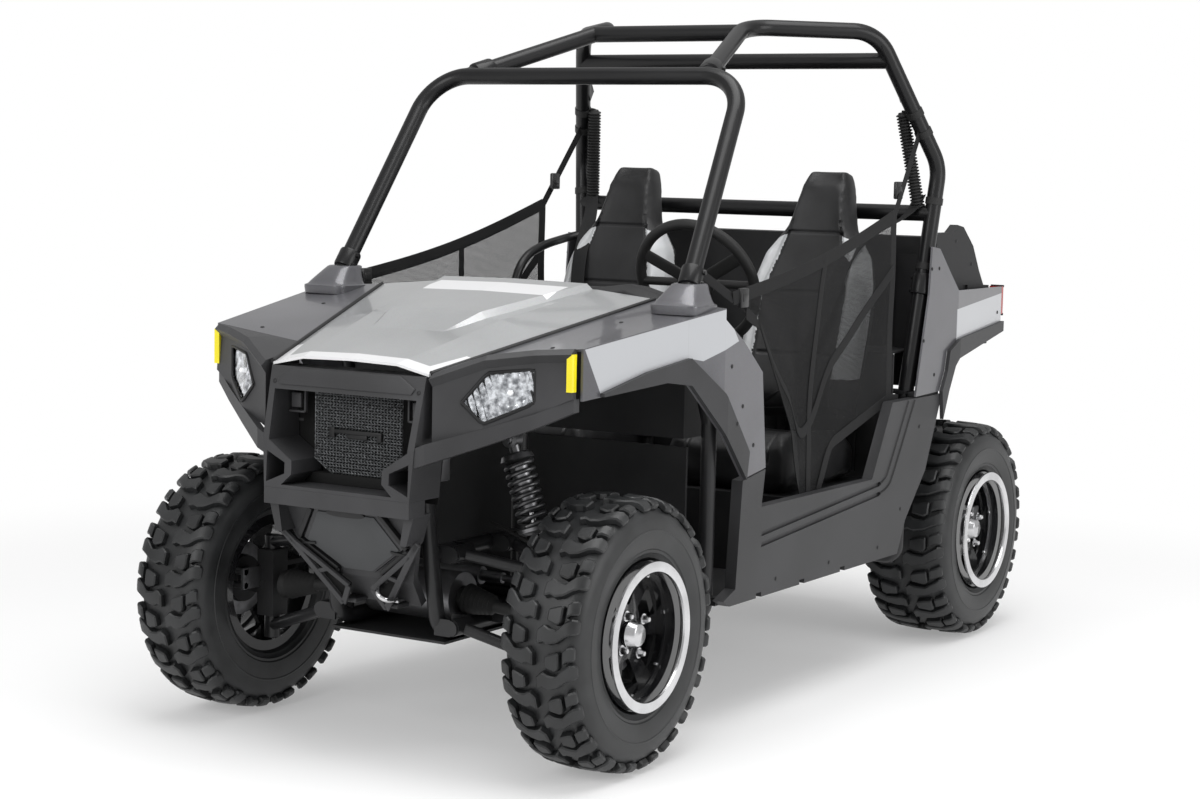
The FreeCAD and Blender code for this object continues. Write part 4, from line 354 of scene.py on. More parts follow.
def rounded(piece, width, segments, angle):
    """Bevels the edges of a piece that are sharper than an angle in degrees."""
    return applied(piece, "BEVEL", width=width, segments=segments, limit_method="ANGLE",
                   angle_limit=math.radians(angle))


def outward(piece):
    """Turns the faces of a piece outwards."""
    return with_edit(piece, (bpy.ops.mesh.normals_make_consistent, {"inside": False}))


def grid(name, across, along):
    """Flat grid of faces, whose points are then moved into place."""
    bpy.ops.mesh.primitive_grid_add(x_subdivisions=across, y_subdivisions=along, size=1)
    piece = bpy.context.object
    piece.name = name
    return piece


def turned(name, profile, centre, axis=turn_axis, steps=64, start=0.0):
    """Turned piece: a closed profile of (radius, place along the axis from a start) spun once round."""
    bpy.ops.mesh.primitive_circle_add(vertices=len(profile))
    piece = bpy.context.object
    piece.name = name
    middle = Vector(centre)
    turn = Vector((0, 1, 0)).rotation_difference(Vector(axis))
    for corner, (radius, along) in zip(piece.data.vertices, profile):
        corner.co = middle + turn @ Vector((radius, start + along, 0))
    return with_edit(
        piece,
        (bpy.ops.mesh.spin, {"steps": steps, "angle": 2 * math.pi, "center": middle, "axis": Vector(axis)}),
        (bpy.ops.mesh.remove_doubles, {"threshold": 0.00002}),
        (bpy.ops.mesh.dissolve_degenerate, {"threshold": 0.00002}),
        (bpy.ops.mesh.normals_make_consistent, {"inside": False}),
    )


def joined(name, pieces):
    """Makes one piece of several."""
    chosen(*pieces)
    if len(pieces) > 1:
        bpy.ops.object.join()
    pieces[0].name = name
    bpy.ops.object.select_all(action="DESELECT")
    return pieces[0]


lug_count = 19
hub_height = 0.3175
crown = 0.3165


crown_drop, shoulder_width, shoulder_drop = 0.004, 0.031, 0.027


def across_tread(reach, half, depth):
    """Radius and offset of the tread at a distance from its middle, measured round the shoulder."""
    flat = half - 0.034
    size = abs(reach)
    if size <= flat:
        radius, offset = crown - crown_drop * (size / flat) ** 2, size
    else:
        bend = min((size - flat) / (2 * shoulder_width), 1.25)
        fall = shoulder_drop * (1 - math.cos(bend * math.pi / 2)) + max(0, bend - 1) * 0.03
        radius = crown - crown_drop - fall
        offset = flat + shoulder_width * math.sin(min(bend, 1) * math.pi / 2) + 0.0015
    inward = depth * (0.6 if size > flat + 0.05 else 1)
    tilt = 0 if size <= flat else min(1, (size - flat) / 0.06) * 1.1
    return radius - inward * math.cos(tilt), math.copysign(offset - inward * math.sin(tilt) * 0.8, reach)


def lug(centre, half, stations, depth, side):
    """One lug: a strip between two edges, given at stations across the tread, then raised and rounded."""
    piece = grid("lug", 2, len(stations) - 1)
    for number, corner in enumerate(piece.data.vertices):
        reach, first, last = stations[number // 3]
        share = (0, 0.5, 1)[number % 3]
        corner.co = (first + (last - first) * share, reach * side, 0)
    with_edit(piece, (bpy.ops.mesh.extrude_region_move, {"TRANSFORM_OT_translate": {"value": (0, 0, 1)}}))
    edges = [s[1] for s in stations] + [s[2] for s in stations]
    middle = (min(edges) + max(edges)) / 2
    foot_spread = 1.14
    for corner in piece.data.vertices:
        along, reach, level = corner.co
        spread, below = (1.0, 0) if level > 0.5 else (foot_spread, depth)
        radius, offset = across_tread(reach, half, below)
        angle = (middle + (along - middle) * spread) / crown
        corner.co = (centre[0] + radius * math.sin(angle), centre[1] + offset,
                     centre[2] - radius * math.cos(angle))
    return rounded(outward(piece), 0.0032, 1, 50)


def tyre(corner):
    """Whole tyre of one corner: carcass spun from its profile, then the lugs of one pitch copied round."""
    x, y, half = wheels[corner]
    centre = Vector((x, y, hub_height))
    outer = [(0.158, half - 0.030), (0.171, half - 0.0262), (0.178, half - 0.0158), (0.186, half - 0.0125),
             (0.190, half - 0.0085), (0.196, half - 0.0085), (0.199, half - 0.0055), (0.222, half - 0.0005),
             (0.2385, half), (0.2400, half + 0.0012), (0.2425, half + 0.0012), (0.2440, half),
             (0.262, half - 0.002), (0.278, half - 0.0075), (0.289, half - 0.018), (0.2965, half - 0.034),
             (0.2990, half * 0.4), (0.2995, 0)]
    section = [(r, a) for r, a in outer] + [(r, -a) for r, a in reversed(outer[:-1])]
    carcass = turned("tyre_carcass", section, centre, steps=96)
    pitch = 2 * math.pi * crown / lug_count
    edge = half + 0.0225
    hook = [(0.004, 0.000, 0.030), (0.019, 0.006, 0.043), (0.033, 0.001, 0.036), (half * 0.52, 0.006, 0.034),
            (half - 0.030, 0.020, 0.054), (half - 0.012, 0.026, 0.062), (half + 0.006, 0.028, 0.062),
            (edge, 0.031, 0.058)]
    claw = [(0.026, 0.052, 0.078), (half * 0.50, 0.045, 0.087), (half * 0.60, 0.052, 0.088)]
    shoulder = [(half * 0.60 + 0.007, 0.062, 0.093), (half - 0.020, 0.070, 0.101),
                (half - 0.004, 0.072, 0.104), (half + 0.010, 0.074, 0.102)]
    lug_depth = 0.019
    lugs = []
    for side, start in ((1, 0.0), (-1, pitch / 2)):
        for stations in (hook, claw, shoulder):
            moved = [(reach, first + start, last + start) for reach, first, last in stations]
            lugs.append(lug(centre, half, moved, lug_depth, side))
    strip = joined("tread", lugs)
    with_edit(strip, (bpy.ops.mesh.spin, {
        "steps": lug_count - 1, "dupli": True, "axis": Vector(turn_axis),
        "angle": 2 * math.pi * (lug_count - 1) / lug_count, "center": centre}))
    whole = joined("tread_tyre_" + corner, [carcass, strip])
    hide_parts("tyre_" + corner)
    return finished(whole, tyre_rubber, "wheel_" + corner, 30)


for corner in wheels:
    tyre(corner)

# Wheel trim: each black cast wheel has a bright machined lip, a domed centre cap, four plated nuts
# and small bolts at the ends of its spokes. The lip is turned on the rim, the rest is pressed or screwed on.
white_metal = finish_of(
    "machined_alloy", (0.55, 0.55, 0.56), (0.72, 0.72, 0.73), 0.22, 1.0, 0.06, 1400, 0.0, 12)
window_count, window_radius = 7, 0.1405
nut_count, nut_radius = 4, 0.055
lip_reach, face_depth = 0.0105, 0.052


def around(centre, radius, share):
    """Point at a share of a full turn round a wheel's centre, from its top."""
    angle = 2 * math.pi * share
    return centre + Vector((radius * math.sin(angle), 0, radius * math.cos(angle)))


for corner, (x, y, half) in wheels.items():
    out = 1 if y > 0 else -1
    centre = Vector((x, y, hub_height))
    lip_end = half + lip_reach
    face = lip_end - face_depth
    axis = (0, out, 0)
    lip = turned("lip", [(0.1715, 0.0002), (0.1722, -0.004), (0.1500, -0.010), (0.1475, -0.0045),
                         (0.1490, 0.0002), (0.1600, 0.0016)], centre, axis, 96, lip_end)
    bead = turned("bead", [(0.1462, 0.004), (0.1462, -0.006), (0.1392, -0.001), (0.1395, 0.004)], centre,
                  axis, 96, face)
    trim = [lip]
    if corner.startswith("rear"):
        trim.append(bead)
    else:
        finished(bead, wheel_black, "wheel_" + corner).name = "rim_bead_" + corner
    for number in range(window_count):
        spot = around(centre, window_radius, (number + 0.5) / window_count)
        trim.append(turned("bolt", [(0, 0.006), (0.0038, 0.0052), (0.0056, 0.002), (0.0056, -0.004),
                                    (0, -0.004)], spot, axis, 6, face))
    finished(joined("lip_ring_" + corner, trim), white_metal, "wheel_" + corner, 40)
    cap = [turned("cap", [(0, 0.0225), (0.010, 0.0220), (0.0125, 0.0205), (0.0235, 0.0208), (0.0265, 0.0185),
                          (0.0315, -0.001), (0.0325, -0.002), (0, -0.002)], centre, axis, 40, face)]
    for number in range(nut_count):
        spot = around(centre, nut_radius, (number + 0.35) / nut_count)
        cap.append(turned("nut", [(0, 0.018), (0.0055, 0.017), (0.0088, 0.011), (0.0094, -0.001),
                                  (0, -0.001)], spot, axis, 6, face))
        cap.append(turned("seat", [(0.0125, 0.0015), (0.0125, -0.001), (0, -0.001), (0, 0.0015)], spot, axis,
                          20, face))
    finished(joined("hub_cap_" + corner, cap), white_metal, "wheel_" + corner, 40)

# Brake discs: a plain steel disc on a hat turns with each wheel just inboard of its spokes.
# The wheel's own nuts hold it on the hub.
spoke_depth, disc_gap = 0.014, 0.022
disc_steel = finish_of("disc_steel", (0.14, 0.14, 0.145), (0.26, 0.26, 0.27), 0.36, 1.0, 0.25, 900, 0.0, 30)
for corner, (x, y, half) in wheels.items():
    out = 1 if y > 0 else -1
    centre = Vector((x, y, hub_height))
    inner = half + lip_reach - face_depth - spoke_depth - disc_gap
    disc = turned("brake_disc_" + corner, [
        (0.092, 0), (0.092, -0.004), (0.060, -0.004), (0.058, -0.012), (0.030, -0.012), (0.030, 0.022),
        (0.046, 0.022), (0.058, 0.001), (0.060, 0)], centre, (0, out, 0), 56, inner)
    finished(disc, disc_steel, "wheel_" + corner)

# Seat backs and cushions: foam under stretched black vinyl, sewn in panels, with pale side bolsters on the
# backs and a tapering head rest in one piece with each. They are clipped to a hidden shell on the platform.
vinyl = finish_of("seat_vinyl", (0.011, 0.011, 0.0115), (0.02, 0.02, 0.021), 0.42, 0.0, 0.75, 520, 0.0, 9)
bolster_vinyl = finish_of("bolster_vinyl", (0.50, 0.51, 0.52), (0.58, 0.59, 0.60), 0.4, 0.0, 0.6, 520, 0.1, 9)


def lofted(name, rings):
    """Closed padded form through a row of four-cornered rings, given as lists of points."""
    piece = grid(name, len(rings[0]), len(rings) - 1)
    across = len(rings[0]) + 1
    for number, corner in enumerate(piece.data.vertices):
        corner.co = rings[number // across][number % across % len(rings[0])]
    return with_edit(
        piece,
        (bpy.ops.mesh.remove_doubles, {"threshold": 0.0001}),
        (bpy.ops.mesh.fill_holes, {"sides": 0}),
        (bpy.ops.mesh.normals_make_consistent, {"inside": False}),
    )


def stuffed(piece, voxel=0.0085, cap=0.014, pressure=4.0):
    """Blows a cover up with foam pressure, holds each point within a cap and smooths it."""
    applied(piece, "REMESH", mode="VOXEL", voxel_size=voxel)
    start = [corner.co.copy() for corner in piece.data.vertices]
    chosen(piece)
    cover = piece.modifiers.new("cover", "CLOTH")
    cover.settings.use_pressure = True
    cover.settings.uniform_pressure_force = pressure
    cover.settings.effector_weights.gravity = 0
    cover.settings.quality = 3
    for step in range(1, 21):
        scene.frame_set(step)
    bpy.ops.object.modifier_apply(modifier="cover")
    scene.frame_set(1)
    for corner, before in zip(piece.data.vertices, start):
        move = corner.co - before
        if move.length > cap:
            corner.co = before + move.normalized() * cap
    applied(piece, "SMOOTH", factor=0.6, iterations=8)
    applied(piece, "SUBSURF", levels=1, render_levels=1)
    return piece


def swapped(piece):
    """Moves a piece to the other side of the vehicle and turns its faces back outwards."""
    for corner in piece.data.vertices:
        corner.co.y = -corner.co.y
    return with_edit(piece, (bpy.ops.mesh.flip_normals, {}))


def mirror_of(piece, name):
    """Copy of a piece on the other side of the vehicle."""
    chosen(piece)
    bpy.ops.object.duplicate()
    twin = bpy.context.object
    twin.name = name
    return swapped(twin)


def seat_ring(x, z, lean, wide, thick, bulge):
    """Twelve points of one slice across a seat back: front face, side bolsters and rear face."""
    ahead_x, ahead_z = math.cos(lean), math.sin(lean)
    slice_points = [
        (-wide, -0.35), (-wide * 0.98, 0.35), (-wide * bulge, 0.66), (-wide * 0.62, 0.42),
        (-wide * 0.3, 0.38), (wide * 0.3, 0.38), (wide * 0.62, 0.42), (wide * bulge, 0.66),
        (wide * 0.98, 0.35), (wide, -0.35), (wide * 0.7, -0.5), (-wide * 0.7, -0.5)]
    return [Vector((x + ahead_x * thick * d, seat_y + a, z + ahead_z * thick * d)) for a, d in slice_points]


seat_y = 0.318
back_rings = [seat_ring(*row) for row in (
    (-0.330, 0.690, 0.22, 0.182, 0.090, 0.86), (-0.352, 0.760, 0.24, 0.193, 0.100, 0.86),
    (-0.385, 0.860, 0.26, 0.197, 0.104, 0.86), (-0.418, 0.960, 0.26, 0.196, 0.104, 0.86),
    (-0.448, 1.060, 0.24, 0.190, 0.100, 0.86), (-0.470, 1.130, 0.24, 0.172, 0.092, 0.84),
    (-0.482, 1.172, 0.22, 0.142, 0.084, 0.80), (-0.492, 1.210, 0.20, 0.113, 0.080, 0.80),
    (-0.508, 1.270, 0.20, 0.096, 0.078, 0.80), (-0.526, 1.335, 0.20, 0.076, 0.072, 0.80),
    (-0.536, 1.376, 0.20, 0.058, 0.058, 0.80))]
back = stuffed(lofted("seat_back_left", back_rings))
cushion_rings = []
for x, low, high, wide in (
        (-0.385, 0.535, 0.640, 0.180), (-0.330, 0.530, 0.655, 0.190), (-0.180, 0.528, 0.668, 0.196),
        (-0.030, 0.528, 0.680, 0.196), (0.045, 0.532, 0.672, 0.190), (0.060, 0.545, 0.650, 0.184)):
    deep = high - low
    cushion_rings.append([Vector((x, seat_y + a, low + deep * d)) for a, d in (
        (-wide, 0.1), (-wide, 0.72), (-wide * 0.88, 0.98), (-wide * 0.6, 0.86), (-wide * 0.3, 0.82),
        (wide * 0.3, 0.82), (wide * 0.6, 0.86), (wide * 0.88, 0.98), (wide, 0.72), (wide, 0.1),
        (wide * 0.7, 0), (-wide * 0.7, 0))])
cushion = stuffed(lofted("seat_cushion_left", cushion_rings))


def sewn(piece, lines, depth=0.0045, reach=0.006):
    """Presses sewn channels into a pad: each line is a test that gives a point's distance from the seam."""
    for corner in piece.data.vertices:
        for line in lines:
            away = line(corner.co)
            if away < reach:
                corner.co -= corner.normal * depth * (1 - (away / reach) ** 2)
    return piece


def off_seam(a, b, first, last):
    """Distance of a point from a straight seam, both given in the same two directions."""
    (a0, b0), (a1, b1) = first, last
    share = ((a - a0) * (a1 - a0) + (b - b0) * (b1 - b0)) / ((a1 - a0) ** 2 + (b1 - b0) ** 2)
    share = min(1, max(0, share))
    return math.hypot(a - a0 - share * (a1 - a0), b - b0 - share * (b1 - b0))


def front_face(spot):
    """True on the face of the back that a rider leans on."""
    return spot.x > -0.345 - 0.32 * (spot.z - 0.70)


def back_seam(first, last):
    """Distance from a seam on the front of the back, seen from ahead; far away on its other faces."""
    return lambda spot: off_seam(spot.y - seat_y, spot.z, first, last) + (0 if front_face(spot) else 1)


def top_seam(first, last):
    """Distance from a seam on the top of the cushion, seen from above; far away on its other faces."""
    return lambda spot: off_seam(spot.x, spot.y - seat_y, first, last) + (0 if spot.z > 0.60 else 1)


seams = [back_seam((s * 0.122, 0.66), (s * 0.128, 1.03)) for s in (1, -1)]
seams += [back_seam((s * 0.128, 1.03), (s * 0.074, 1.225)) for s in (1, -1)]
seams += [back_seam((-wide, z), (wide, z)) for wide, z in ((0.11, 0.86), (0.12, 1.03), (0.086, 1.195))]
sewn(back, seams)
sewn(cushion, [top_seam((-0.38, s * 0.122), (0.06, s * 0.122)) for s in (1, -1)]
     + [top_seam((x, -0.12), (x, 0.12)) for x in (-0.2, -0.05)])


def two_covers(piece, second, test):
    """Gives a second cover material to the faces that a test picks."""
    piece.data.materials.append(second)
    for face in piece.data.polygons:
        if test(face.center):
            face.material_index = 1


def on_bolster(spot):
    """The pale panels on the front of both side bolsters, from the waist to the shoulder."""
    a = abs(abs(spot.y) - seat_y)
    inner = 0.128 - max(0, spot.z - 1.03) * 0.277
    shoulder = 1.175 - (a - 0.12) * 0.35
    return front_face(spot) and a > inner and 0.80 < spot.z < shoulder


for left, node in ((back, "seat_backs"), (cushion, "seat_cushions")):
    right = mirror_of(left, left.name.replace("left", "right"))
    for piece in (left, right):
        finished(piece, vinyl, "chassis", 60)
        if piece.name.startswith("seat_back"):
            two_covers(piece, bolster_vinyl, on_bolster)
    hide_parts(node)
    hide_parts(node)

# Side nets: black see-through polyester mesh cut to a sail shape and bound with webbing. Buckled straps
# hold each one to the hoop's foot, to the rear leg of the cage and down to the rocker.
net_mesh = finish_of("net_mesh", (0.006, 0.006, 0.0065), (0.012, 0.012, 0.0125), 0.8)
mesh_pitch, thread_share = 0.0032, 0.46
tree = net_mesh.node_tree
axes = node_in(tree, "SeparateXYZ")
tree.links.new(node_in(tree, "TexCoord").outputs["Object"], axes.inputs["Vector"])
threads = []
for way in ("X", "Z"):
    ripple = sum_of(tree, "MULTIPLY", axes.outputs[way], 2 * math.pi / mesh_pitch)
    thread = node_in(tree, "MapRange", From_Min=thread_share - 0.2, From_Max=thread_share + 0.2)
    tree.links.new(sum_of(tree, "SINE", ripple, None), thread.inputs["Value"])
    threads.append(thread.outputs["Result"])
tree.links.new(sum_of(tree, "MAXIMUM", *threads), tree.nodes["Principled BSDF"].inputs["Alpha"])
webbing = finish_of("net_webbing", (0.004, 0.004, 0.0045), (0.009, 0.009, 0.0095), 0.75, 0.0, 0.9, 900)
buckle_plastic = finish_of(
    "buckle_plastic", (0.012, 0.012, 0.013), (0.02, 0.02, 0.02), 0.35, 0.0, 0.2, 900, 0.2)


def ribbon(name, points, sides, width, thick, rounds=2):
    """Flat strap along a line of points; sides gives the direction of its width at each."""
    piece = grid(name, 2, len(points) - 1)
    for number, corner in enumerate(piece.data.vertices):
        side = Vector(sides if isinstance(sides[0], (int, float)) else sides[number // 3]).normalized()
        corner.co = Vector(points[number // 3]) + side * width * (number % 3 - 1) / 2
    applied(piece, "SOLIDIFY", thickness=thick, offset=0)
    rounded(piece, thick * 0.35, 1, 50)
    if rounds:
        applied(piece, "SUBSURF", levels=rounds - 1, render_levels=rounds - 1)
    return outward(piece)


def block(name, low, high, round_by=0.003, segments=2):
    """Moulded block between two corners, with rounded edges."""
    bpy.ops.mesh.primitive_cube_add(size=1)
    piece = bpy.context.object
    piece.name = name
    for corner in piece.data.vertices:
        corner.co = Vector([low[i] if corner.co[i] < 0 else high[i] for i in range(3)])
    applied(piece, "BEVEL", width=round_by, segments=segments)
    return piece


def fitted(name, parts, look, smooth=35):
    """Joins parts to one finished piece that is fixed on the chassis."""
    return finished(joined(name, parts), look, "chassis", smooth)


net_y = 0.5737
net_front, net_length = 0.505, 0.911
net_low = [(0.505, 1.050), (0.366, 0.990), (0.157, 0.685), (0.120, 0.520), (0.020, 0.520), (-0.048, 0.654),
           (-0.395, 0.745), (-0.406, 0.748)]


def net_edge(x, corners):
    """Height of the net's lower edge at one place along the vehicle."""
    for (x0, z0), (x1, z1) in zip(corners, corners[1:]):
        if x1 <= x <= x0:
            return z0 + (z1 - z0) * (x0 - x) / (x0 - x1)
    return corners[-1][1]


def net_top(x):
    """Height of the upper edge, which sags a little between its two ends."""
    share = (net_front - x) / net_length
    return 1.058 + 0.191 * share - 0.022 * math.sin(math.pi * share)


def net_point(x, share, out):
    """Point of the stretched net: it hangs in slightly, with soft folds that run to its corners."""
    low, high = net_edge(x, net_low), net_top(x)
    along = (net_front - x) / net_length
    belly = 0.016 * math.sin(math.pi * min(1, along * 1.05)) * math.sin(math.pi * share) ** 0.8
    fold = 0.0022 * math.sin(14 * along + 9 * share) * math.sin(math.pi * share)
    return Vector((x, out * (net_y - belly + fold), low + (high - low) * share))


columns, rows = 64, 26
for out, side in ((1, "left"), (-1, "right")):
    net = grid("net_panel_" + side, rows, columns)
    for number, corner in enumerate(net.data.vertices):
        step = number // (rows + 1) / columns
        corner.co = net_point(net_front - net_length * step, number % (rows + 1) / rows, out)
    applied(net, "SOLIDIFY", thickness=0.0008, offset=0)
    finished(net, net_mesh, "chassis", 60)
    steps = [net_front - net_length * n / 40 for n in range(41)]
    proud = Vector((0, out * 0.0015, 0))
    upper = ribbon("upper", [net_point(x, 1, out) for x in steps], (0.2, 0, 1), 0.034, 0.0024)
    slopes = [(0.75, 0, 1) if 0.157 < x < 0.38 else
              (1, 0, 0.25) if 0.12 < x <= 0.157 or -0.05 < x < 0.02 else (0, 0, 1) for x in steps[3:]]
    lower = ribbon("lower", [net_point(x, 0, out) for x in steps[3:]], slopes, 0.030, 0.0024)
    rear = ribbon("rear", [net_point(-0.404, n / 10, out) for n in range(11)], (1, 0, 0), 0.034, 0.0024)
    slant = ribbon("slant", [net_point(0.36 - 0.766 * n / 20, 0.05 + 0.66 * n / 20, out) + proud
                             for n in range(21)], (0.35, 0, 1), 0.030, 0.0022)
    upright_tape = ribbon("upright", [
        net_point(0.070 - 0.06 * n / 12, n / 12, out) + proud for n in range(13)], (1, 0, 0), 0.025, 0.0022)
    ties = []
    for first, last, width in (
            ((-0.404, 1.245), (-0.590, 1.478), 0.025), ((0.500, 1.056), (0.592, 1.122), 0.025),
            ((0.070, 0.525), (0.066, 0.486), 0.030), ((-0.400, 0.750), (-0.470, 0.742), 0.025)):
        reach = Vector((last[0] - first[0], 0, last[1] - first[1]))
        inward = -0.046 if last[1] > 1.08 and first[0] > 0 else -0.016 if last[1] > 1.4 else 0.0
        start, reach_in = Vector((first[0], out * net_y, first[1])), Vector((0, out * inward, 0))
        points = [start + reach * n / 8 + reach_in * n / 8 for n in range(9)]
        ties.append(ribbon("tie", points, (-reach.z, 0, reach.x), width, 0.0024))
    bands = fitted("net_straps_" + side, [upper, lower, rear, slant, upright_tape] + ties, webbing,
                   50)
    buckles = []
    for x, z in ((0.452, 1.058), (-0.452, 1.318), (0.068, 0.503)):
        middle = Vector((x, out * (net_y - (0.012 if z > 1.2 else 0)), z))
        for name, low, high, round_by in (("buckle", (0.020, 0.0065, 0.024), (0.020, 0.0065, 0.024), 0.004),
                                          ("tongue", (0.013, 0.0085, 0.010), (0.013, 0.0085, 0.012), 0.003)):
            buckles.append(block(name, middle - Vector(low), middle + Vector(high), round_by))
    fitted("net_buckles_" + side, buckles, buckle_plastic, 40)
    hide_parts("side_net_" + side)

# Seat belts: black retractable webbing. Each shoulder strap runs from the rear cage leg, out of a ribbed
# rubber sleeve, down across the seat back to a buckle on a short stalk beside the cushion.
for out, side in ((1, "left"), (-1, "right")):
    line = [(-0.636, 0.543, 1.300), (-0.610, 0.528, 1.245), (-0.520, 0.478, 1.205), (-0.430, 0.440, 1.160),
            (-0.372, 0.425, 1.080), (-0.330, 0.400, 0.960), (-0.292, 0.360, 0.840), (-0.262, 0.300, 0.750),
            (-0.245, 0.215, 0.700), (-0.262, 0.145, 0.668), (-0.275, 0.118, 0.640)]
    across = [(0, 1, 0.4)] * 3 + [(0, 1, 0.1)] * 4 + [(0, 0.8, 0.7)] * 2 + [(0.6, 0.3, 0.4)] * 2
    strap = ribbon("belt", [(x, out * y, z) for x, y, z in line], [(x, out * y, z) for x, y, z in across],
                   0.046, 0.0022, 3)
    lap = ribbon("lap", [
        (-0.335, out * 0.505, 0.700), (-0.300, out * 0.470, 0.716), (-0.255, out * 0.400, 0.712),
        (-0.235, out * 0.318, 0.708), (-0.240, out * 0.230, 0.700), (-0.268, out * 0.128, 0.655)],
        (0.8, 0, 0.5), 0.046, 0.0022, 3)
    fitted("belt_webbing_" + side, [strap, lap], webbing, 50)
    latch = block("latch", (-0.302, 0.101, 0.600), (-0.250, 0.127, 0.672), 0.006)
    button = block("button", (-0.290, 0.105, 0.664), (-0.262, 0.123, 0.679), 0.004)
    stalk = block("stalk", (-0.290, 0.107, 0.528), (-0.262, 0.121, 0.604), 0.003)
    made = fitted("belt_buckle_" + side, [latch, button, stalk], buckle_plastic, 40)
    if out < 0:
        swapped(made)
    rib_count = 30
    top, foot = Vector((-0.582, out * 0.508, 1.530)), Vector((-0.636, out * 0.541, 1.270))
    along = (foot - top).normalized()
    length = (foot - top).length
    profile = [(0.0, -0.004), (0.012, -0.004)]
    rib_step = length / rib_count
    for number in range(rib_count):
        reach = length * number / rib_count
        profile += [(0.0135, reach), (0.0195, reach + rib_step * 0.3), (0.0195, reach + rib_step * 0.6),
                    (0.0135, reach + rib_step * 0.9)]
    profile += [(0.012, length + 0.004), (0.0, length + 0.004)]
    finished(turned("belt_sleeve_" + side, profile, top, along, 24), shaft_rubber, "chassis",
             30)

# Coil-over dampers: painted steel spring between two seats, round an alloy body with a chromed rod.
# An eye with a rubber bush at each end is bolted to the tower and to the lower arm.
spring_paint = finish_of("spring_paint", (0.05, 0.05, 0.052), (0.10, 0.10, 0.104), 0.3, 0.6, 0.1, 900, 0.5)
chrome_rod = finish_of("chrome_rod", (0.6, 0.6, 0.61), (0.72, 0.72, 0.73), 0.12, 1.0)


def bent_tube(name, points, radius, sides=3, order=3, smooth_by=6):
    """Round bar along a smooth line through control points, made a mesh with closed ends."""
    bpy.ops.curve.primitive_nurbs_path_add()
    path = bpy.context.object
    path.name = name
    path.data.splines.clear()
    line = path.data.splines.new("NURBS")
    line.points.add(len(points) - 1)
    for knot, spot in zip(line.points, points):
        knot.co = (*spot, 1)
    line.order_u = order
    line.use_endpoint_u = True
    line.resolution_u = smooth_by
    path.data.bevel_depth = radius
    path.data.bevel_resolution = sides
    path.data.use_fill_caps = True
    chosen(path)
    bpy.ops.object.convert(target="MESH")
    return bpy.context.object


coil_radius, wire_radius = 0.033, 0.0055
forward = Vector((1, 0, 0))
for end, foot, top in (("front", (0.974, 0.345, 0.4734), (0.974, 0.258, 0.735)),
                       ("rear", (-0.982, 0.330, 0.4588), (-0.982, 0.262, 0.770))):
    for out, side in ((1, "left"), (-1, "right")):
        low, high = Vector(foot) * Vector((1, out, 1)), Vector(top) * Vector((1, out, 1))
        along = (high - low).normalized()
        length = (high - low).length
        first, second = 0.060, length - 0.045
        across_way = along.cross(forward).normalized()
        coil = []
        turns, per_turn = 8.5, 12
        total = int(turns * per_turn)
        for number in range(total + 1):
            angle = 2 * math.pi * number / per_turn
            reach = first + 0.010 + (second - first - 0.020) * number / total
            ring = forward * coil_radius * math.cos(angle) + across_way * coil_radius * math.sin(angle)
            coil.append(low + along * reach + ring)
        spring = bent_tube(f"spring_{end}_{side}", coil, wire_radius, 3, 3, 2)
        finished(spring, spring_paint, "chassis", 60)
        damper = [turned("cylinder", [
            (0, second), (0.0225, second), (0.0225, first + 0.09), (0.0205, first + 0.085),
            (0.0205, first + 0.045), (0.012, first + 0.040), (0, first + 0.040)], low, along, 40),
            turned("seat_low", [(0, first - 0.012), (0.030, first - 0.010), (0.040, first - 0.003),
                                (0.041, first + 0.005), (0.034, first + 0.006), (0.018, first + 0.010),
                                (0, first + 0.010)], low, along, 48),
            turned("seat_high", [(0, second + 0.014), (0.026, second + 0.013), (0.036, second + 0.008),
                                 (0.040, second - 0.004), (0.034, second - 0.005), (0.024, second - 0.012),
                                 (0, second - 0.012)], low, along, 48),
            turned("neck", [(0, second), (0.013, second), (0.013, length - 0.012), (0, length - 0.012)], low,
                   along, 24),]
        for spot in (low, high):
            damper.append(turned("eye", [
                (0.0195, 0.015), (0.0195, -0.015), (0.0105, -0.017), (0.0105, 0.017)], spot, (1, 0, 0), 32))
            damper.append(turned("bolt", [
                (0, 0.027), (0.011, 0.026), (0.012, 0.017), (0.0085, 0.016), (0.0085, -0.016),
                (0.012, -0.017), (0.011, -0.026), (0, -0.027)], spot, (1, 0, 0), 12))
        fitted(f"damper_{end}_{side}", damper, damper_steel, 35)
        rod = turned(f"damper_rod_{end}_{side}", [
            (0, 0.012), (0.0075, 0.012), (0.0075, first + 0.045), (0, first + 0.045)], low, along, 24)
        finished(rod, chrome_rod, "chassis", 35)
        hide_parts(f"{end}_shocks")

# Nose: behind the prow hangs an expanded steel screen in front of a near-black sheet that paints the shade
# behind it, with the radiator behind that. Small bracket frames, a latch bar and window panels with
# near-black discs that paint the shade in their holes are moulded in or clipped on round it.
screen_metal = finish_of(
    "screen_metal", (0.05, 0.052, 0.053), (0.30, 0.31, 0.32), 0.42, 0.35, 0.3, 900, 0.0, 190)
# Near-black finish that paints the shade in recesses: behind the screen, under the grille and in the struts'
# windows.
shade_black = finish_of("painted_recess_shade", (0.0025, 0.0025, 0.0025), (0.005, 0.005, 0.005), 0.8)
shield_grey = finish_of(
    "shield_grey", (0.045, 0.047, 0.049), (0.057, 0.059, 0.062), 0.48, 0.0, 0.4, 1100, 0.0, 5)
# Near-black trim finish; it also paints the shade in the hood gaps, in the grille's holes and in the shield's
# slot.
trim_black = finish_of("trim_black", (0.007, 0.007, 0.0075), (0.013, 0.013, 0.014), 0.45, 0.0, 0.3, 1100)


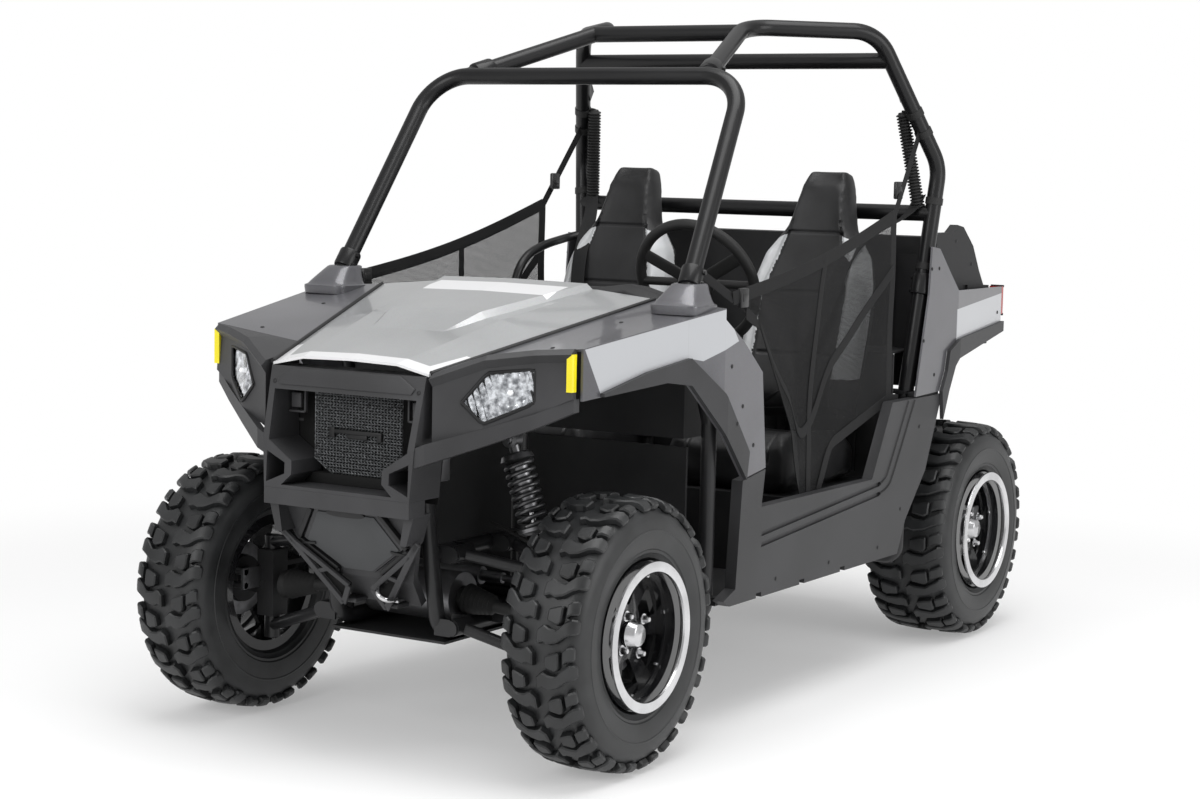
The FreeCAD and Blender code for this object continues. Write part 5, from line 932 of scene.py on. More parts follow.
def plate(name, outline, axis, low, high, round_by=0.0):
    """Flat piece: an outline of points pushed through its thickness along one axis."""
    bpy.ops.mesh.primitive_circle_add(vertices=len(outline), fill_type="NGON")
    piece = bpy.context.object
    piece.name = name
    for corner, (first, second) in zip(piece.data.vertices, outline):
        corner.co = {"x": (low, first, second), "y": (first, low, second), "z": (first, second, low)}[axis]
    push = {"x": (high - low, 0, 0), "y": (0, high - low, 0), "z": (0, 0, high - low)}[axis]
    with_edit(
        piece,
        (bpy.ops.mesh.extrude_region_move, {"TRANSFORM_OT_translate": {"value": push}}),
        (bpy.ops.mesh.normals_make_consistent, {"inside": False}),
    )
    return rounded(piece, round_by, 2, 35) if round_by else piece


screen_columns, screen_rows = 44, 30
screen_wide, screen_high = 0.400, 0.198
stagger = 0.00227
screen = grid("grille_mesh", screen_columns, screen_rows)
for number, corner in enumerate(screen.data.vertices):
    row, column = divmod(number, screen_columns + 1)
    corner.co = (1.2195 + 0.001 * (row % 2),
                 (column / screen_columns - 0.5) * screen_wide + (stagger if row % 2 else -stagger),
                 0.648 + screen_high * row / screen_rows)
for first, second in (((0.197, 0.843), (0.1925, 0.727)), ((0.1925, 0.727), (0.125, 0.683)),
                      ((0.125, 0.683), (0.125, 0.646))):
    run, rise = second[0] - first[0], second[1] - first[1]
    for out in (1, -1):
        with_edit(screen, (bpy.ops.mesh.bisect, {"plane_co": (1.22, out * first[0], first[1]),
                                                 "plane_no": (0, -out * rise, run), "clear_outer": True}))
applied(screen, "WIREFRAME", thickness=0.0036, use_even_offset=False)
finished(screen, screen_metal, "chassis", 30)
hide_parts("grille_screen")
# A near-black sheet between the screen and the radiator paints the shade behind the screen.
backing_shade = plate("screen_backing_shade", [
    (-0.200, 0.60), (0.200, 0.60), (0.212, 0.72), (0.212, 0.872), (-0.212, 0.872), (-0.212, 0.72)], "x",
    1.1815, 1.1855)
finished(backing_shade, shade_black, "chassis")
# A near-black plate at the foot of the grille opening paints the shade in the recess under it.
sill_shade = plate("grille_sill", [(-0.153, 0.626), (0.153, 0.626), (0.126, 0.651), (-0.126, 0.651)], "x", 1.196,
             1.226, 0.002)
finished(sill_shade, shade_black, "chassis")
frames = []
for out in (1, -1):
    for low, high in (((0.146, 0.786), (0.151, 0.838)), ((0.146, 0.786), (0.196, 0.791)),
                      ((0.160, 0.798), (0.188, 0.832))):
        a = sorted((out * low[0], out * high[0]))
        frames.append(block("bracket", (1.221, a[0], low[1]), (1.231, a[1], high[1]), 0.0015))
    a = sorted((out * 0.152, out * 0.196))
    frames.append(block("window_panel", (1.206, a[0], 0.634), (1.212, a[1], 0.700), 0.002))
fitted("grille_frames", frames, dark_plastic)
latch = [block("bar", (1.2215, -0.072, 0.746), (1.229, 0.072, 0.756), 0.002),
         block("end", (1.2215, -0.078, 0.736), (1.230, -0.062, 0.760), 0.002),
         block("end", (1.2215, 0.058, 0.734), (1.230, 0.072, 0.750), 0.002),
         block("foot", (1.2215, -0.030, 0.736), (1.228, 0.030, 0.746), 0.002)]
# Near-black discs on the window panels paint the shade in their holes.
for out in (1, -1):
    latch.append(turned("hole", [(0, 0.0010), (0.006, 0.0010), (0.006, -0.002), (0, -0.002)],
                        (1.2125, out * 0.174, 0.668), (1, 0, 0), 20))
fitted("grille_latch", latch, trim_black)

# Nose shield: a raised hexagon in mid grey between black ribs, with a near-black oval at the top that paints
# the shade in its slot. Folded struts stand at its sides, with near-black sheets in their windows as painted
# shade, and a small plated tow hook is bolted under it.
shield_top_x, shield_top_z = 1.262, 0.586
lean = (shield_top_x - 1.196) / (shield_top_z - 0.416)


def on_shield(a, z, proud=0.0):
    """Point on the sloping face of the nose shield, in front of it by a distance."""
    size = math.hypot(1, lean)
    return Vector((shield_top_x - (shield_top_z - z) * lean + proud / size, a, z - proud * lean / size))


def shield_plate(name, outline, first, second, round_by=0.002):
    """Plate that lies on the shield's slope, between two distances in front of it."""
    made = plate(name, outline, "x", first, second)
    for corner in made.data.vertices:
        corner.co = on_shield(corner.co.y, corner.co.z, corner.co.x)
    return rounded(made, round_by, 2, 30)


hexagon = [(-0.043, 0.432), (0.043, 0.432), (0.142, 0.498), (0.087, 0.577), (-0.087, 0.577), (-0.142, 0.498)]
hexagon = [(a * 0.93, 0.5 + (z - 0.5) * 0.93) for a, z in hexagon]
finished(shield_plate("nose_hexagon", hexagon, 0.0075, 0.0105), shield_grey, "chassis")


def rib(first, second, wide, low, high):
    """Raised rib between two points on the shield."""
    (a0, z0), (a1, z1) = first, second
    size = math.hypot(a1 - a0, z1 - z0)
    da, dz = -(z1 - z0) / size * wide / 2, (a1 - a0) / size * wide / 2
    outline = [(a0 - da, z0 - dz), (a1 - da, z1 - dz), (a1 + da, z1 + dz), (a0 + da, z0 + dz)]
    return shield_plate("rib", outline, low, high, 0.0015)


ribs = []
for out in (1, -1):
    for a0, z0, a1, z1, wide, low, high in ((0.099, 0.578, 0.154, 0.503, 0.012, 0.001, 0.014),
                                            (0.154, 0.497, 0.062, 0.434, 0.010, 0.001, 0.012),
                                            (0.150, 0.488, 0.108, 0.492, 0.007, 0.007, 0.014),
                                            (0.062, 0.433, 0.074, 0.412, 0.010, 0.001, 0.010)):
        ribs.append(rib((out * a0, z0), (out * a1, z1), wide, low, high))
# The oval is a near-black plate that paints the shade in the slot.
slot_shade_line = [(0.055 * math.copysign(abs(math.cos(t)) ** 0.6, math.cos(t)), 0.572 + 0.008 * math.sin(t))
             for t in [math.pi * n / 12 for n in range(24)]]
ribs.append(shield_plate("slot", slot_shade_line, 0.007, 0.0118, 0.001))
fitted("nose_ribs", ribs, trim_black)
struts, web_shades = [], []
for out in (1, -1):
    corners = [(out * 0.196, 0.524), (out * 0.062, 0.352), (out * 0.034, 0.398), (out * 0.166, 0.494)]
    for first, second, wide in ((0, 1, 0.015), (1, 2, 0.013), (2, 3, 0.012), (3, 0, 0.013)):
        struts.append(rib(corners[first], corners[second], wide, 0.014, 0.022))
    struts.append(rib((out * 0.120, 0.424), (out * 0.086, 0.434), 0.010, 0.014, 0.021))
    a0, a1 = sorted((out * 0.036, out * 0.084))
    struts.append(block("strut_foot", (1.130, a0, 0.345), (1.176, a1, 0.356), 0.003))
    # A near-black sheet in each strut frame's window paints the shade in the opening.
    web_shades.append(shield_plate("web", corners[::-out], 0.004, 0.008, 0.001))
fitted("nose_struts", struts, dark_plastic, 40)
fitted("nose_web_shades", web_shades, shade_black, 40)
beam = plate("prow_arch", [(-0.186, 0.854), (0.186, 0.854), (0.196, 0.868), (0.150, 0.8935), (-0.150, 0.8935),
                           (-0.196, 0.868)], "x", 0.0, 0.005)
prow_lean = 0.2275
for corner in beam.data.vertices:
    corner.co.x += 1.262 + (0.8957 - corner.co.z) * prow_lean - 0.001
rounded(beam, 0.003, 3, 30)
finished(beam, dark_plastic, "chassis", 40)
hook = [bent_tube("hook", [(1.196, 0.055, 0.398), (1.222, 0.060, 0.396), (1.236, 0.075, 0.384),
                           (1.222, 0.092, 0.372), (1.192, 0.092, 0.372)], 0.0065, 4, 3),
        block("hook_foot", (1.168, 0.048, 0.364), (1.196, 0.100, 0.370), 0.002)]
fitted("tow_hook", hook, chrome_rod, 50)

# Head lamps: a moulded clear cover over a metallised reflector with a deep bowl and faceted wings,
# in a black bezel. The cover follows the pod's faceted face.
# The reflector's metal is painted in bright and dark patches that stand for its reflections.
lamp_mirror = finish_of(
    "lamp_mirror", (0.16, 0.165, 0.175), (0.86, 0.87, 0.89), 0.14, 1.0, 0.25, 260, 0.0, 75)
# The bulb glows faintly as a painted highlight.
bulb_painted_glow = finish_of("bulb_painted_glow", (0.95, 0.95, 0.95), (1.0, 1.0, 1.0), 0.1, 0.0, 0.0, 900, 1.0)
adjust(bulb_painted_glow, "Emission Color", (1, 1, 1, 1))
adjust(bulb_painted_glow, "Emission Strength", 0.35)
lamp_cover = finish_of("lamp_cover", (0.96, 0.97, 0.98), (0.99, 0.99, 1.0), 0.03)
adjust(lamp_cover, "Transmission Weight", 1.0)
adjust(lamp_cover, "IOR", 1.28)
# Each station: place across, then x of the lower and upper edge and z of the lower and upper edge.
lens_line = [(0.297, 1.2352, 1.2352, 0.838, 0.848), (0.344, 1.2215, 1.2040, 0.7975, 0.9095),
             (0.4355, 1.1500, 1.1500, 0.844, 0.9215)]


def lamp_point(a, up, deep):
    """Point of the lamp: a across the vehicle, up from its lower to its upper edge, deep behind the face."""
    for first, second in zip(lens_line, lens_line[1:]):
        if a <= second[0]:
            share = (a - first[0]) / (second[0] - first[0])
            low_x, top_x, low_z, top_z = (first[i] + (second[i] - first[i]) * share for i in range(1, 5))
            return Vector((low_x + (top_x - low_x) * up - deep, a, low_z + (top_z - low_z) * up))
    return None


def lamp_sheet(name, depth_of, wide=36, high=20):
    """Sheet over the lamp's outline whose depth is given at every point."""
    piece = grid(name, high, wide)
    for number, corner in enumerate(piece.data.vertices):
        a = 0.2975 + (0.435 - 0.2975) * (number // (high + 1)) / wide
        up = 0.02 + 0.96 * (number % (high + 1)) / high
        corner.co = lamp_point(a, up, depth_of(a, lamp_point(a, up, 0).z))
    return outward(piece)


bulb_y, bowl_radius = 0.385, 0.036


def bowl_depth(a, z):
    """Depth of the reflector: one deep bowl round the bulb and shallow vertical flutes beside it."""
    away = math.hypot(a - bulb_y, z - 0.872)
    if away < bowl_radius:
        return 0.0085 + 0.0055 * (1 - (away / bowl_radius) ** 2)
    return 0.0085 + 0.0022 * math.cos((a + (z - 0.85) * 0.35) * 420)


for out, side in ((1, "left"), (-1, "right")):
    mirror = lamp_sheet("mirror", bowl_depth, 72, 32)
    applied(mirror, "SOLIDIFY", thickness=0.0008, offset=0)
    cover = lamp_sheet("cover", lambda a, z: 0.0040, 30, 10)
    applied(cover, "SOLIDIFY", thickness=0.0016, offset=0)
    bulb = turned("bulb", [(0, 0.004), (0.004, 0.0035), (0.0062, 0.001), (0.0062, -0.006), (0, -0.006)],
                  lamp_point(bulb_y, 0.5, 0.0075), (1, 0, 0), 24)
    edge = [lamp_point(a, up, -0.0005) for a, up in (
        (0.2972, 0.5), (0.344, 0.0), (0.4352, 0.0), (0.4352, 1.0), (0.344, 1.0), (0.2972, 0.5))]
    bezel = bent_tube("bezel", edge, 0.0042, 3, 2)
    for piece, name, look, slot in (
            (mirror, "reflector", lamp_mirror, "lamp_clear"), (cover, "lamp_cover", lamp_cover, "lamp_clear"),
            (bulb, "lamp_bulb", bulb_painted_glow, "lamp_clear"), (bezel, "lamp_bezel", trim_black, "dark_plastic")):
        if out < 0:
            swapped(piece)
        piece.name = f"{name}_{side}"
        finished(piece, look, "chassis", 40)
    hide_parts("headlamps")

# Seams and small fasteners: near-black tubes laid along the gaps between hood and fenders paint the shade in
# these gaps, and round push rivets of moulded plastic hold the panels to their brackets.
def hit(node, start, way):
    """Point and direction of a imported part's surface, seen from a start along a way."""
    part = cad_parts[node]
    found, spot, facing, _ = part.ray_cast(Vector(start), Vector(way))
    return (spot, facing) if found else (None, None)


gap_shade_front, gap_shade_rear = 1.252, 0.598
gap_shades = []
for out in (1, -1):
    points = []
    for number in range(25):
        x = gap_shade_front - (gap_shade_front - gap_shade_rear) * number / 24
        half = 0.222 + (0.409 - 0.222) * (1.256 - x) / (1.256 - 0.594)
        spot, _ = hit("hood", (x, out * (half - 0.004), 1.4), (0, 0, -1))
        if spot:
            points.append((x, out * (half + 0.002), spot.z - 0.0005))
    gap_shades.append(bent_tube("seal", points, 0.0062, 3, 3))
fitted("hood_gap_shades", gap_shades, trim_black, 60)


def rivets(name, node, spots, start_of, way):
    """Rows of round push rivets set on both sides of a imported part's surface."""
    radius = 0.0055
    made = []
    for spot in spots:
        for out in (1, -1):
            start, push = start_of(spot, out), Vector((way[0], way[1] * out, way[2]))
            place, facing = hit(node, start, push)
            if place is None:
                continue
            made.append(turned("rivet", [(0, 0.0022), (radius * 0.6, 0.0019), (radius, 0.0006),
                                         (radius * 0.98, -0.001), (0, -0.001)], place, facing, 12))
    fitted(name, made, trim_black, 40)


for name, node, spots in (("flare_rivets", "front_fenders", [(0.560, 0.90), (0.500, 0.80), (0.440, 0.70)]),
                          ("flare_rivets_low", "arch_flares", [(0.97, 0.886), (0.80, 0.922), (0.66, 0.880),
                                                               (0.545, 0.762)]),
                          ("rocker_rivets", "rockers", [(0.430, 0.630), (0.300, 0.350), (0.0, 0.350),
                                                        (-0.30, 0.350), (-0.55, 0.66), (-0.44, 0.44)]),
                          ("rear_rivets", "rear_fenders", [(-0.60, 1.10), (-0.56, 0.90), (-0.65, 1.10),
                                                           (-0.64, 0.80), (-1.20, 0.95)]),
                          ("box_rivets", "cargo_box", [(-0.76, 1.16), (-0.90, 1.17), (-1.02, 1.10)])):
    rivets(name, node, spots, lambda s, out: (s[0], out * 0.75, s[1]), (0, -1, 0))
rivets("deck_rivets", "front_fenders", [(1.06, 0.42), (0.80, 0.44), (0.66, 0.47)],
       lambda s, out: (s[0], out * s[1], 1.3), (0, 0, -1))
rivets("prow_rivets", "front_fascia", [(0.205, 0.86), (0.185, 0.60)], lambda s, out: (1.5, out * s[0], s[1]),
       (-1, 0, 0))

# Dash: moulded black plastic with a hooded round gauge ahead of the driver, a row of rocker switches,
# a grab handle and a lidded box on the passenger's side. Every part snaps or screws into the dash shell.
gauge_face = finish_of("gauge_face", (0.004, 0.004, 0.005), (0.008, 0.008, 0.009), 0.2, 0.0, 0.0, 900, 0.8)
gauge_mark = finish_of("gauge_mark", (0.55, 0.55, 0.55), (0.65, 0.65, 0.65), 0.5)
dash_front = 0.430
gauge_place = Vector((dash_front + 0.004, 0.318, 0.975))
gauge_axis = Vector((-1, 0, 0.25))
hood_ring = turned("gauge_pod", [
    (0.058, 0.0), (0.058, 0.030), (0.054, 0.036), (0.050, 0.034), (0.050, 0.012), (0, 0.012), (0, 0.0)],
    gauge_place, gauge_axis, 48)
finished(hood_ring, inner_plastic, "chassis")
face = turned("gauge_face", [(0, 0.016), (0.049, 0.016), (0.049, 0.011), (0, 0.011)], gauge_place, gauge_axis,
              48)
finished(face, gauge_face, "chassis")
marks = []
gauge_axis.normalize()
gauge_up = Vector((0.25, 0, 1)).normalized()
dial = gauge_place + gauge_axis * 0.0168
mark_count, first_mark, mark_step = 11, -130, 26
for number in range(mark_count):
    angle = math.radians(first_mark + mark_step * number)
    ray = gauge_up * math.cos(angle) + Vector((0, 1, 0)) * math.sin(angle)
    marks.append(ribbon(
        "mark", [dial + ray * 0.036, dial + ray * 0.045], tuple(ray.cross(gauge_axis)), 0.0024, 0.0008, 0))
pivot = dial + gauge_axis * 0.001
needle = ribbon("needle", [pivot - Vector((0, 0.006, 0.004)), pivot + Vector((0, 0.020, 0.030))],
                (0, 0.8, -0.5), 0.0022, 0.0008, 0)
fitted("gauge_marks", marks + [needle], gauge_mark)


def spaced(start, step, count):
    """Places at equal steps from a start."""
    return [start + step * number for number in range(count)]


switches = []
for y in spaced(0.085, 0.042, 3):
    switches.append(
        block("frame", (dash_front - 0.003, y - 0.016, 0.936), (dash_front + 0.004, y + 0.016, 0.988), 0.003))
    switches.append(
        block("key", (dash_front - 0.010, y - 0.011, 0.942), (dash_front + 0.002, y + 0.011, 0.982), 0.003))
switches.append(turned(
    "key_barrel", [(0, 0.010), (0.010, 0.009), (0.012, 0.004), (0.012, -0.004), (0, -0.004)],
    (dash_front, 0.030, 0.960), (-1, 0, 0), 24))
fitted("dash_switches", switches, grip_rubber)
box_lid = [block("lid", (dash_front - 0.008, -0.440, 0.800), (dash_front + 0.003, -0.180, 0.940), 0.008, 3),
           block("latch", (dash_front - 0.016, -0.335, 0.905), (dash_front - 0.004, -0.285, 0.925), 0.004),
           block("shelf", (dash_front - 0.014, -0.140, 0.760), (dash_front + 0.003, 0.140, 0.778), 0.005)]
fitted("dash_box_lid", box_lid, dark_plastic)
handle = bent_tube("grab_handle", [
    (0.436, -0.430, 0.985), (0.395, -0.430, 0.990), (0.378, -0.405, 0.992), (0.378, -0.215, 0.992),
    (0.395, -0.190, 0.990), (0.436, -0.190, 0.985)], 0.0115, 4)
finished(handle, grip_rubber, "chassis", 60)

# Dash cowl and glare shield: a cap of moulded black plastic that closes the gap between hood and dash.
# It is made in one piece and snaps over the upper edge of the dash.
cowl_slice = ((0.592, -0.004), (0.560, 0.012), (0.470, 0.002), (0.428, -0.030), (0.432, -0.040),
              (0.590, -0.030))
cowl = lofted("dash_cowl", [[Vector((x, y, top + rise)) for x, rise in cowl_slice]
                            for y, top in ((-0.488, 1.020), (-0.36, 1.046), (-0.12, 1.060), (0.12, 1.060),
                                           (0.24, 1.062), (0.318, 1.072), (0.40, 1.050), (0.488, 1.020))])
rounded(cowl, 0.008, 3, 25)
finished(cowl, inner_plastic, "chassis", 50)

# Controls: hanging accelerator and brake pedals in the left footwell, and a shift lever with a round knob
# on the dash's right of the driver. Pads have moulded grip ribs.
controls = []
for y, wide, z in ((0.235, 0.024, 0.470), (0.355, 0.040, 0.480)):
    controls.append(
        bent_tube("arm", [(0.560, y, 0.690), (0.540, y, 0.620), (0.535, y, 0.560), (0.520, y, z)], 0.008, 3))
    controls.append(block("pad", (0.498, y - wide, z - 0.045), (0.514, y + wide, z + 0.035), 0.005))
    for rise in spaced(0, 0.018, 4):
        controls.append(block("rib", (0.493, y - wide + 0.006, z - 0.036 + rise),
                              (0.500, y + wide - 0.006, z - 0.030 + rise), 0.002, 1))
fitted("pedals", controls, frame_paint)
lever = [bent_tube("stem", [
    (0.436, 0.130, 0.850), (0.380, 0.130, 0.862), (0.335, 0.128, 0.900), (0.318, 0.126, 0.945)], 0.0065, 3),
    turned("knob", [(0, 0.034), (0.012, 0.032), (0.021, 0.024), (0.024, 0.012), (0.020, 0.0), (0.011, -0.012),
                    (0, -0.012)], (0.316, 0.126, 0.950), (-0.3, 0, 1), 32),
    turned("gaiter", [(0, 0.030), (0.012, 0.028), (0.020, 0.020), (0.018, 0.015), (0.028, 0.008),
                      (0.026, 0.004), (0.034, 0.0), (0, 0)], (0.432, 0.130, 0.850), (-1, 0, 0.15), 32)]
fitted("shift_lever", lever, grip_rubber, 50)

# Steering wheel trim: a padded hub cover and three flat spokes of moulded rubber, clipped on the rim
# and turning with the hand wheel.
tilt = math.radians(24)
wheel_axis = Vector((-math.cos(tilt), 0, math.sin(tilt)))
wheel_up = Vector((math.sin(tilt), 0, math.cos(tilt)))
wheel_middle = Vector((0.225, 0.318, 1.075))
hub = [turned("hub", [(0, 0.012), (0.030, 0.010), (0.046, 0.002), (0.050, -0.010), (0.044, -0.022),
                      (0, -0.022)], wheel_middle, wheel_axis, 40)]
for degrees in (180, 300, 420):
    angle = math.radians(degrees)
    ray = wheel_up * math.cos(angle) + Vector((0, 1, 0)) * math.sin(angle)
    spoke = ribbon(
        "spoke", [wheel_middle + ray * r - wheel_axis * 0.006 for r in (0.030, 0.070, 0.115, 0.158)],
        tuple(ray.cross(wheel_axis)), 0.036, 0.008, 2)
    hub.append(spoke)
finished(joined("wheel_hub_cover", hub), grip_rubber, "hand_wheel", 50)

# Cage fittings: split cast couplers where the tubes are joined, each held by two cap screws, and plain
# steel gusset plates welded in the upper rear corners.
cage_r = 0.02225
fittings = []


def coupler(first, second, share, length=0.060):
    """Split collar round a tube, with two cap screws."""
    start, end = Vector(first), Vector(second)
    along = (end - start).normalized()
    middle = start.lerp(end, share)
    parts = [turned("collar", [
        (cage_r + 0.0005, -length / 2), (cage_r + 0.0055, -length / 2 + 0.002),
        (cage_r + 0.0065, -length / 2 + 0.006), (cage_r + 0.0065, length / 2 - 0.006),
        (cage_r + 0.0055, length / 2 - 0.002), (cage_r + 0.0005, length / 2)], middle, along, 32)]
    side = along.cross(Vector((0, 0, 1)))
    side = side.normalized() if side.length > 0.1 else Vector((0, 1, 0))
    for shift in (-0.3, 0.3):
        parts.append(turned("screw", [
            (0, cage_r + 0.0125), (0.006, cage_r + 0.0118), (0.0068, cage_r + 0.009),
            (0.0068, cage_r + 0.002), (0, cage_r + 0.002)], middle + along * length * shift, side, 12))
    return parts


cage_line = [(0.289, 0.365, 1.598), (-0.187, 0.210, 1.750), (-0.462, 0.478, 1.750), (-0.655, 0.592, 1.385),
             (-0.630, 0.570, 1.110), (-0.542, 0.562, 0.760)]
hoop_line = [(0.649, 0.521, 1.046), (0.289, 0.473, 1.598)]
for out in (1, -1):
    flip = Vector((1, out, 1))
    points, hoop = ([Vector(spot) * flip for spot in line] for line in (cage_line, hoop_line))
    fittings += coupler(points[0], points[1], 0.10)
    fittings += coupler(points[4], points[5], 0.16)
    fittings += coupler(hoop[0], hoop[1], 0.115, 0.050)
    gusset = plate("gusset", [(-0.585, 1.590), (-0.500, 1.700), (-0.455, 1.712), (-0.560, 1.560)],
                   "y", 0.0, 0.004, 0.001)
    for corner in gusset.data.vertices:
        corner.co.y = out * (0.500 + corner.co.y - 0.15 * (corner.co.x + 0.5))
    fittings.append(outward(gusset))
fitted("cage_couplers", fittings, cage_gloss, 40)

# Hoop boots: smooth moulded covers over the feet of the front hoop, drawn up from a square lip on the deck
# to a round collar on the tube, in the fenders' grey.
for out, side in ((1, "left"), (-1, "right")):
    turn = [2 * math.pi * n / 40 for n in range(40)]
    rings = []
    for z, x, y, half_x, half_y, square in (
            (1.026, 0.649, 0.521, 0.064, 0.064, 5), (1.042, 0.649, 0.521, 0.066, 0.066, 5),
            (1.047, 0.649, 0.521, 0.0655, 0.0655, 5), (1.050, 0.648, 0.521, 0.060, 0.060, 4.5),
            (1.058, 0.645, 0.520, 0.0575, 0.056, 4), (1.074, 0.634, 0.519, 0.052, 0.047, 3.4),
            (1.088, 0.622, 0.518, 0.047, 0.040, 3), (1.094, 0.617, 0.517, 0.044, 0.037, 3),
            (1.0965, 0.6165, 0.517, 0.040, 0.034, 2.6), (1.0955, 0.616, 0.517, 0.026, 0.026, 2)):
        power = 2 / square
        rings.append([Vector((x + half_x * math.copysign(abs(math.cos(t)) ** power, math.cos(t)),
                              out * y + half_y * math.copysign(abs(math.sin(t)) ** power, math.sin(t)), z))
                      for t in turn])
    boot = outward(lofted("hoop_boot_" + side, rings))
    finished(boot, fender_paint, "chassis", 50)
    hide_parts("hoop_boots")

# Hand hold beside the passenger: a bent black tube from the cage leg round to the seat platform, with a
# clamp at the leg. Belt sleeves and net ties hang on the legs from narrow strap clamps.
bar_line = [
    (-0.634, -0.572, 1.156), (-0.520, -0.520, 1.158), (-0.356, -0.470, 1.150), (-0.220, -0.452, 1.134),
    (-0.120, -0.452, 1.100), (-0.078, -0.458, 1.010), (-0.070, -0.470, 0.800), (-0.070, -0.475, 0.519)]
bar = [bent_tube("bar", bar_line, 0.0125, 4), turned(
    "foot", [(0, 0.006), (0.022, 0.005), (0.026, 0), (0, 0)], (-0.070, -0.475, 0.5197), (0, 0, 1), 24)]
fitted("passenger_hand_hold", bar, cage_gloss, 60)
clamps = []
for out in (1, -1):
    flip = Vector((1, out, 1))
    for start, end, share in ((2, 3, 0.60), (2, 3, 0.745), (3, 4, 0.35), (4, 5, 0.02)):
        first, second = (Vector(cage_line[i]) * flip for i in (start, end))
        inner, outer = cage_r + 0.0003, cage_r + 0.0026
        clamps.append(turned("clamp", [(inner, -0.010), (outer, -0.0095), (outer, 0.0095), (inner, 0.010)],
                             first.lerp(second, share), second - first, 28))
    for spot, toward in (((-0.582, 0.508, 1.536), (-0.578, 0.547, 1.534)),
                         ((-0.636, 0.541, 1.268), (-0.6445, 0.583, 1.268))):
        ends = [Vector(spot) * flip, Vector(toward) * flip]
        clamps.append(ribbon("clip", ends, (0.9, 0, 0.1), 0.022, 0.006, 0))
fitted("leg_clamps", clamps, grip_rubber, 40)

# Cargo box trim: the thick moulded plastic has stiffening ribs on its floor, front wall and tail panel and
# a bar handle at the rear. Bent steel tie-down loops are screwed on near its rim.
floor_top = 0.8773
load_ribs = []
for y in spaced(-0.44, 0.11, 9):
    load_ribs.append(block(
        "floor_rib", (-1.118, y - 0.016, floor_top - 0.001), (-0.735, y + 0.016, floor_top + 0.006), 0.003))
for y in spaced(-0.425, 0.17, 6):
    load_ribs.append(
        block("wall_rib", (-0.729, y - 0.020, floor_top + 0.010), (-0.722, y + 0.020, 1.150), 0.003))
fitted("cargo_floor_ribs", load_ribs, inner_plastic)
tail = [block("panel_top", (-1.1665, -0.500, 0.995), (-1.158, 0.500, 1.024), 0.004),
        block("panel_low", (-1.1665, -0.500, 0.890), (-1.158, 0.500, 0.915), 0.004)]
for y in spaced(-0.45, 0.15, 7):
    tail.append(block("upright_rib", (-1.1665, y - 0.012, 0.910), (-1.158, y + 0.012, 1.000), 0.003))
tail.append(block("handle", (-1.178, -0.075, 0.955), (-1.158, 0.075, 0.978), 0.006, 3))
fitted("tail_panel_ribs", tail, inner_plastic)
loops = []
for out in (1, -1):
    for x, z in ((-0.800, 1.196), (-0.960, 1.210), (-1.080, 1.082)):
        loops.append(bent_tube("loop", [
            (x - 0.030, out * 0.530, z - 0.060), (x - 0.030, out * 0.508, z - 0.058),
            (x, out * 0.506, z - 0.058), (x + 0.030, out * 0.508, z - 0.058),
            (x + 0.030, out * 0.530, z - 0.060)], 0.005, 3))
fitted("tie_down_loops", loops, frame_paint, 60)

# Tail lamps: rows of red plastic prisms between two black rims. They are pressed into the rear ends
# of the fenders.
lamps, prisms = [], []
for out in (1, -1):
    a0, a1 = sorted((out * 0.520, out * 0.556))
    for low, high in ((0.938, 0.946), (1.024, 1.031)):
        lamps.append(block("rim", (-1.2575, a0 - 0.004, low), (-1.2525, a1 + 0.003, high), 0.0015))
    for z in spaced(0.950, 0.0092, 8):
        prisms.append(block("prism", (-1.2568, a0, z), (-1.2530, a1, z + 0.0066), 0.0012))
fitted("tail_lamp_rims", lamps, trim_black)
fitted("tail_lamp_prisms", prisms, red_lens)

# Engine trim: cooling fins, head cover and sump of cast alloy, a moulded belt cover, a rubber intake duct
# with its filter, and steel exhaust pipes. It is bolted in the frame behind the seats, the muffler behind it.
engine_parts = []
for z in spaced(0.520, 0.017, 9):
    engine_parts.append(block("fin", (-0.800, -0.132, z), (-0.520, 0.132, z + 0.005), 0.0015, 1))
engine_parts.append(block("head_cover", (-0.760, -0.100, 0.698), (-0.560, 0.100, 0.722), 0.010, 3))
engine_parts.append(block("sump", (-0.830, -0.115, 0.300), (-0.500, 0.115, 0.310), 0.004))
fitted("engine_fins", engine_parts, cast_alloy)
belt_cover = [turned("case", [(0, 0.034), (crown_edge, 0.032), (wide - 0.004, 0.020), (wide, 0), (0, 0)],
                     (x, 0.124, 0.430), (0, 1, 0), 48)
              for crown_edge, wide, x in ((0.072, 0.100, -0.560), (0.078, 0.108, -0.745))]
belt_cover.append(block("bridge", (-0.745, 0.124, 0.345), (-0.560, 0.152, 0.515), 0.010, 3))
fitted("belt_cover", belt_cover, inner_plastic)
duct_line = [(-0.60, -0.06, 0.715), (-0.58, -0.14, 0.760), (-0.54, -0.24, 0.790), (-0.53, -0.34, 0.780)]
intake = [bent_tube("duct", duct_line, 0.030, 5),
          turned("filter", [(0, 0.10), (0.045, 0.098), (0.060, 0.090), (0.062, -0.06), (0.045, -0.07),
                            (0, -0.07)], (-0.53, -0.36, 0.775), (0, -1, 0), 40)]
fitted("intake_duct", intake, shaft_rubber, 50)
header_line = [(-0.62, 0.10, 0.640), (-0.60, 0.175, 0.640), (-0.70, 0.205, 0.640), (-0.88, 0.195, 0.650),
               (-0.99, 0.120, 0.650), (-1.03, 0.060, 0.650)]
pipes = [bent_tube("header", header_line, 0.021, 4),
         turned("tip", [(0.020, 0.0), (0.026, 0.0), (0.026, 0.046), (0.024, 0.048), (0.020, 0.048),
                        (0.020, 0.010)], (-1.120, -0.130, 0.650), (-1, 0, -0.1), 32)]
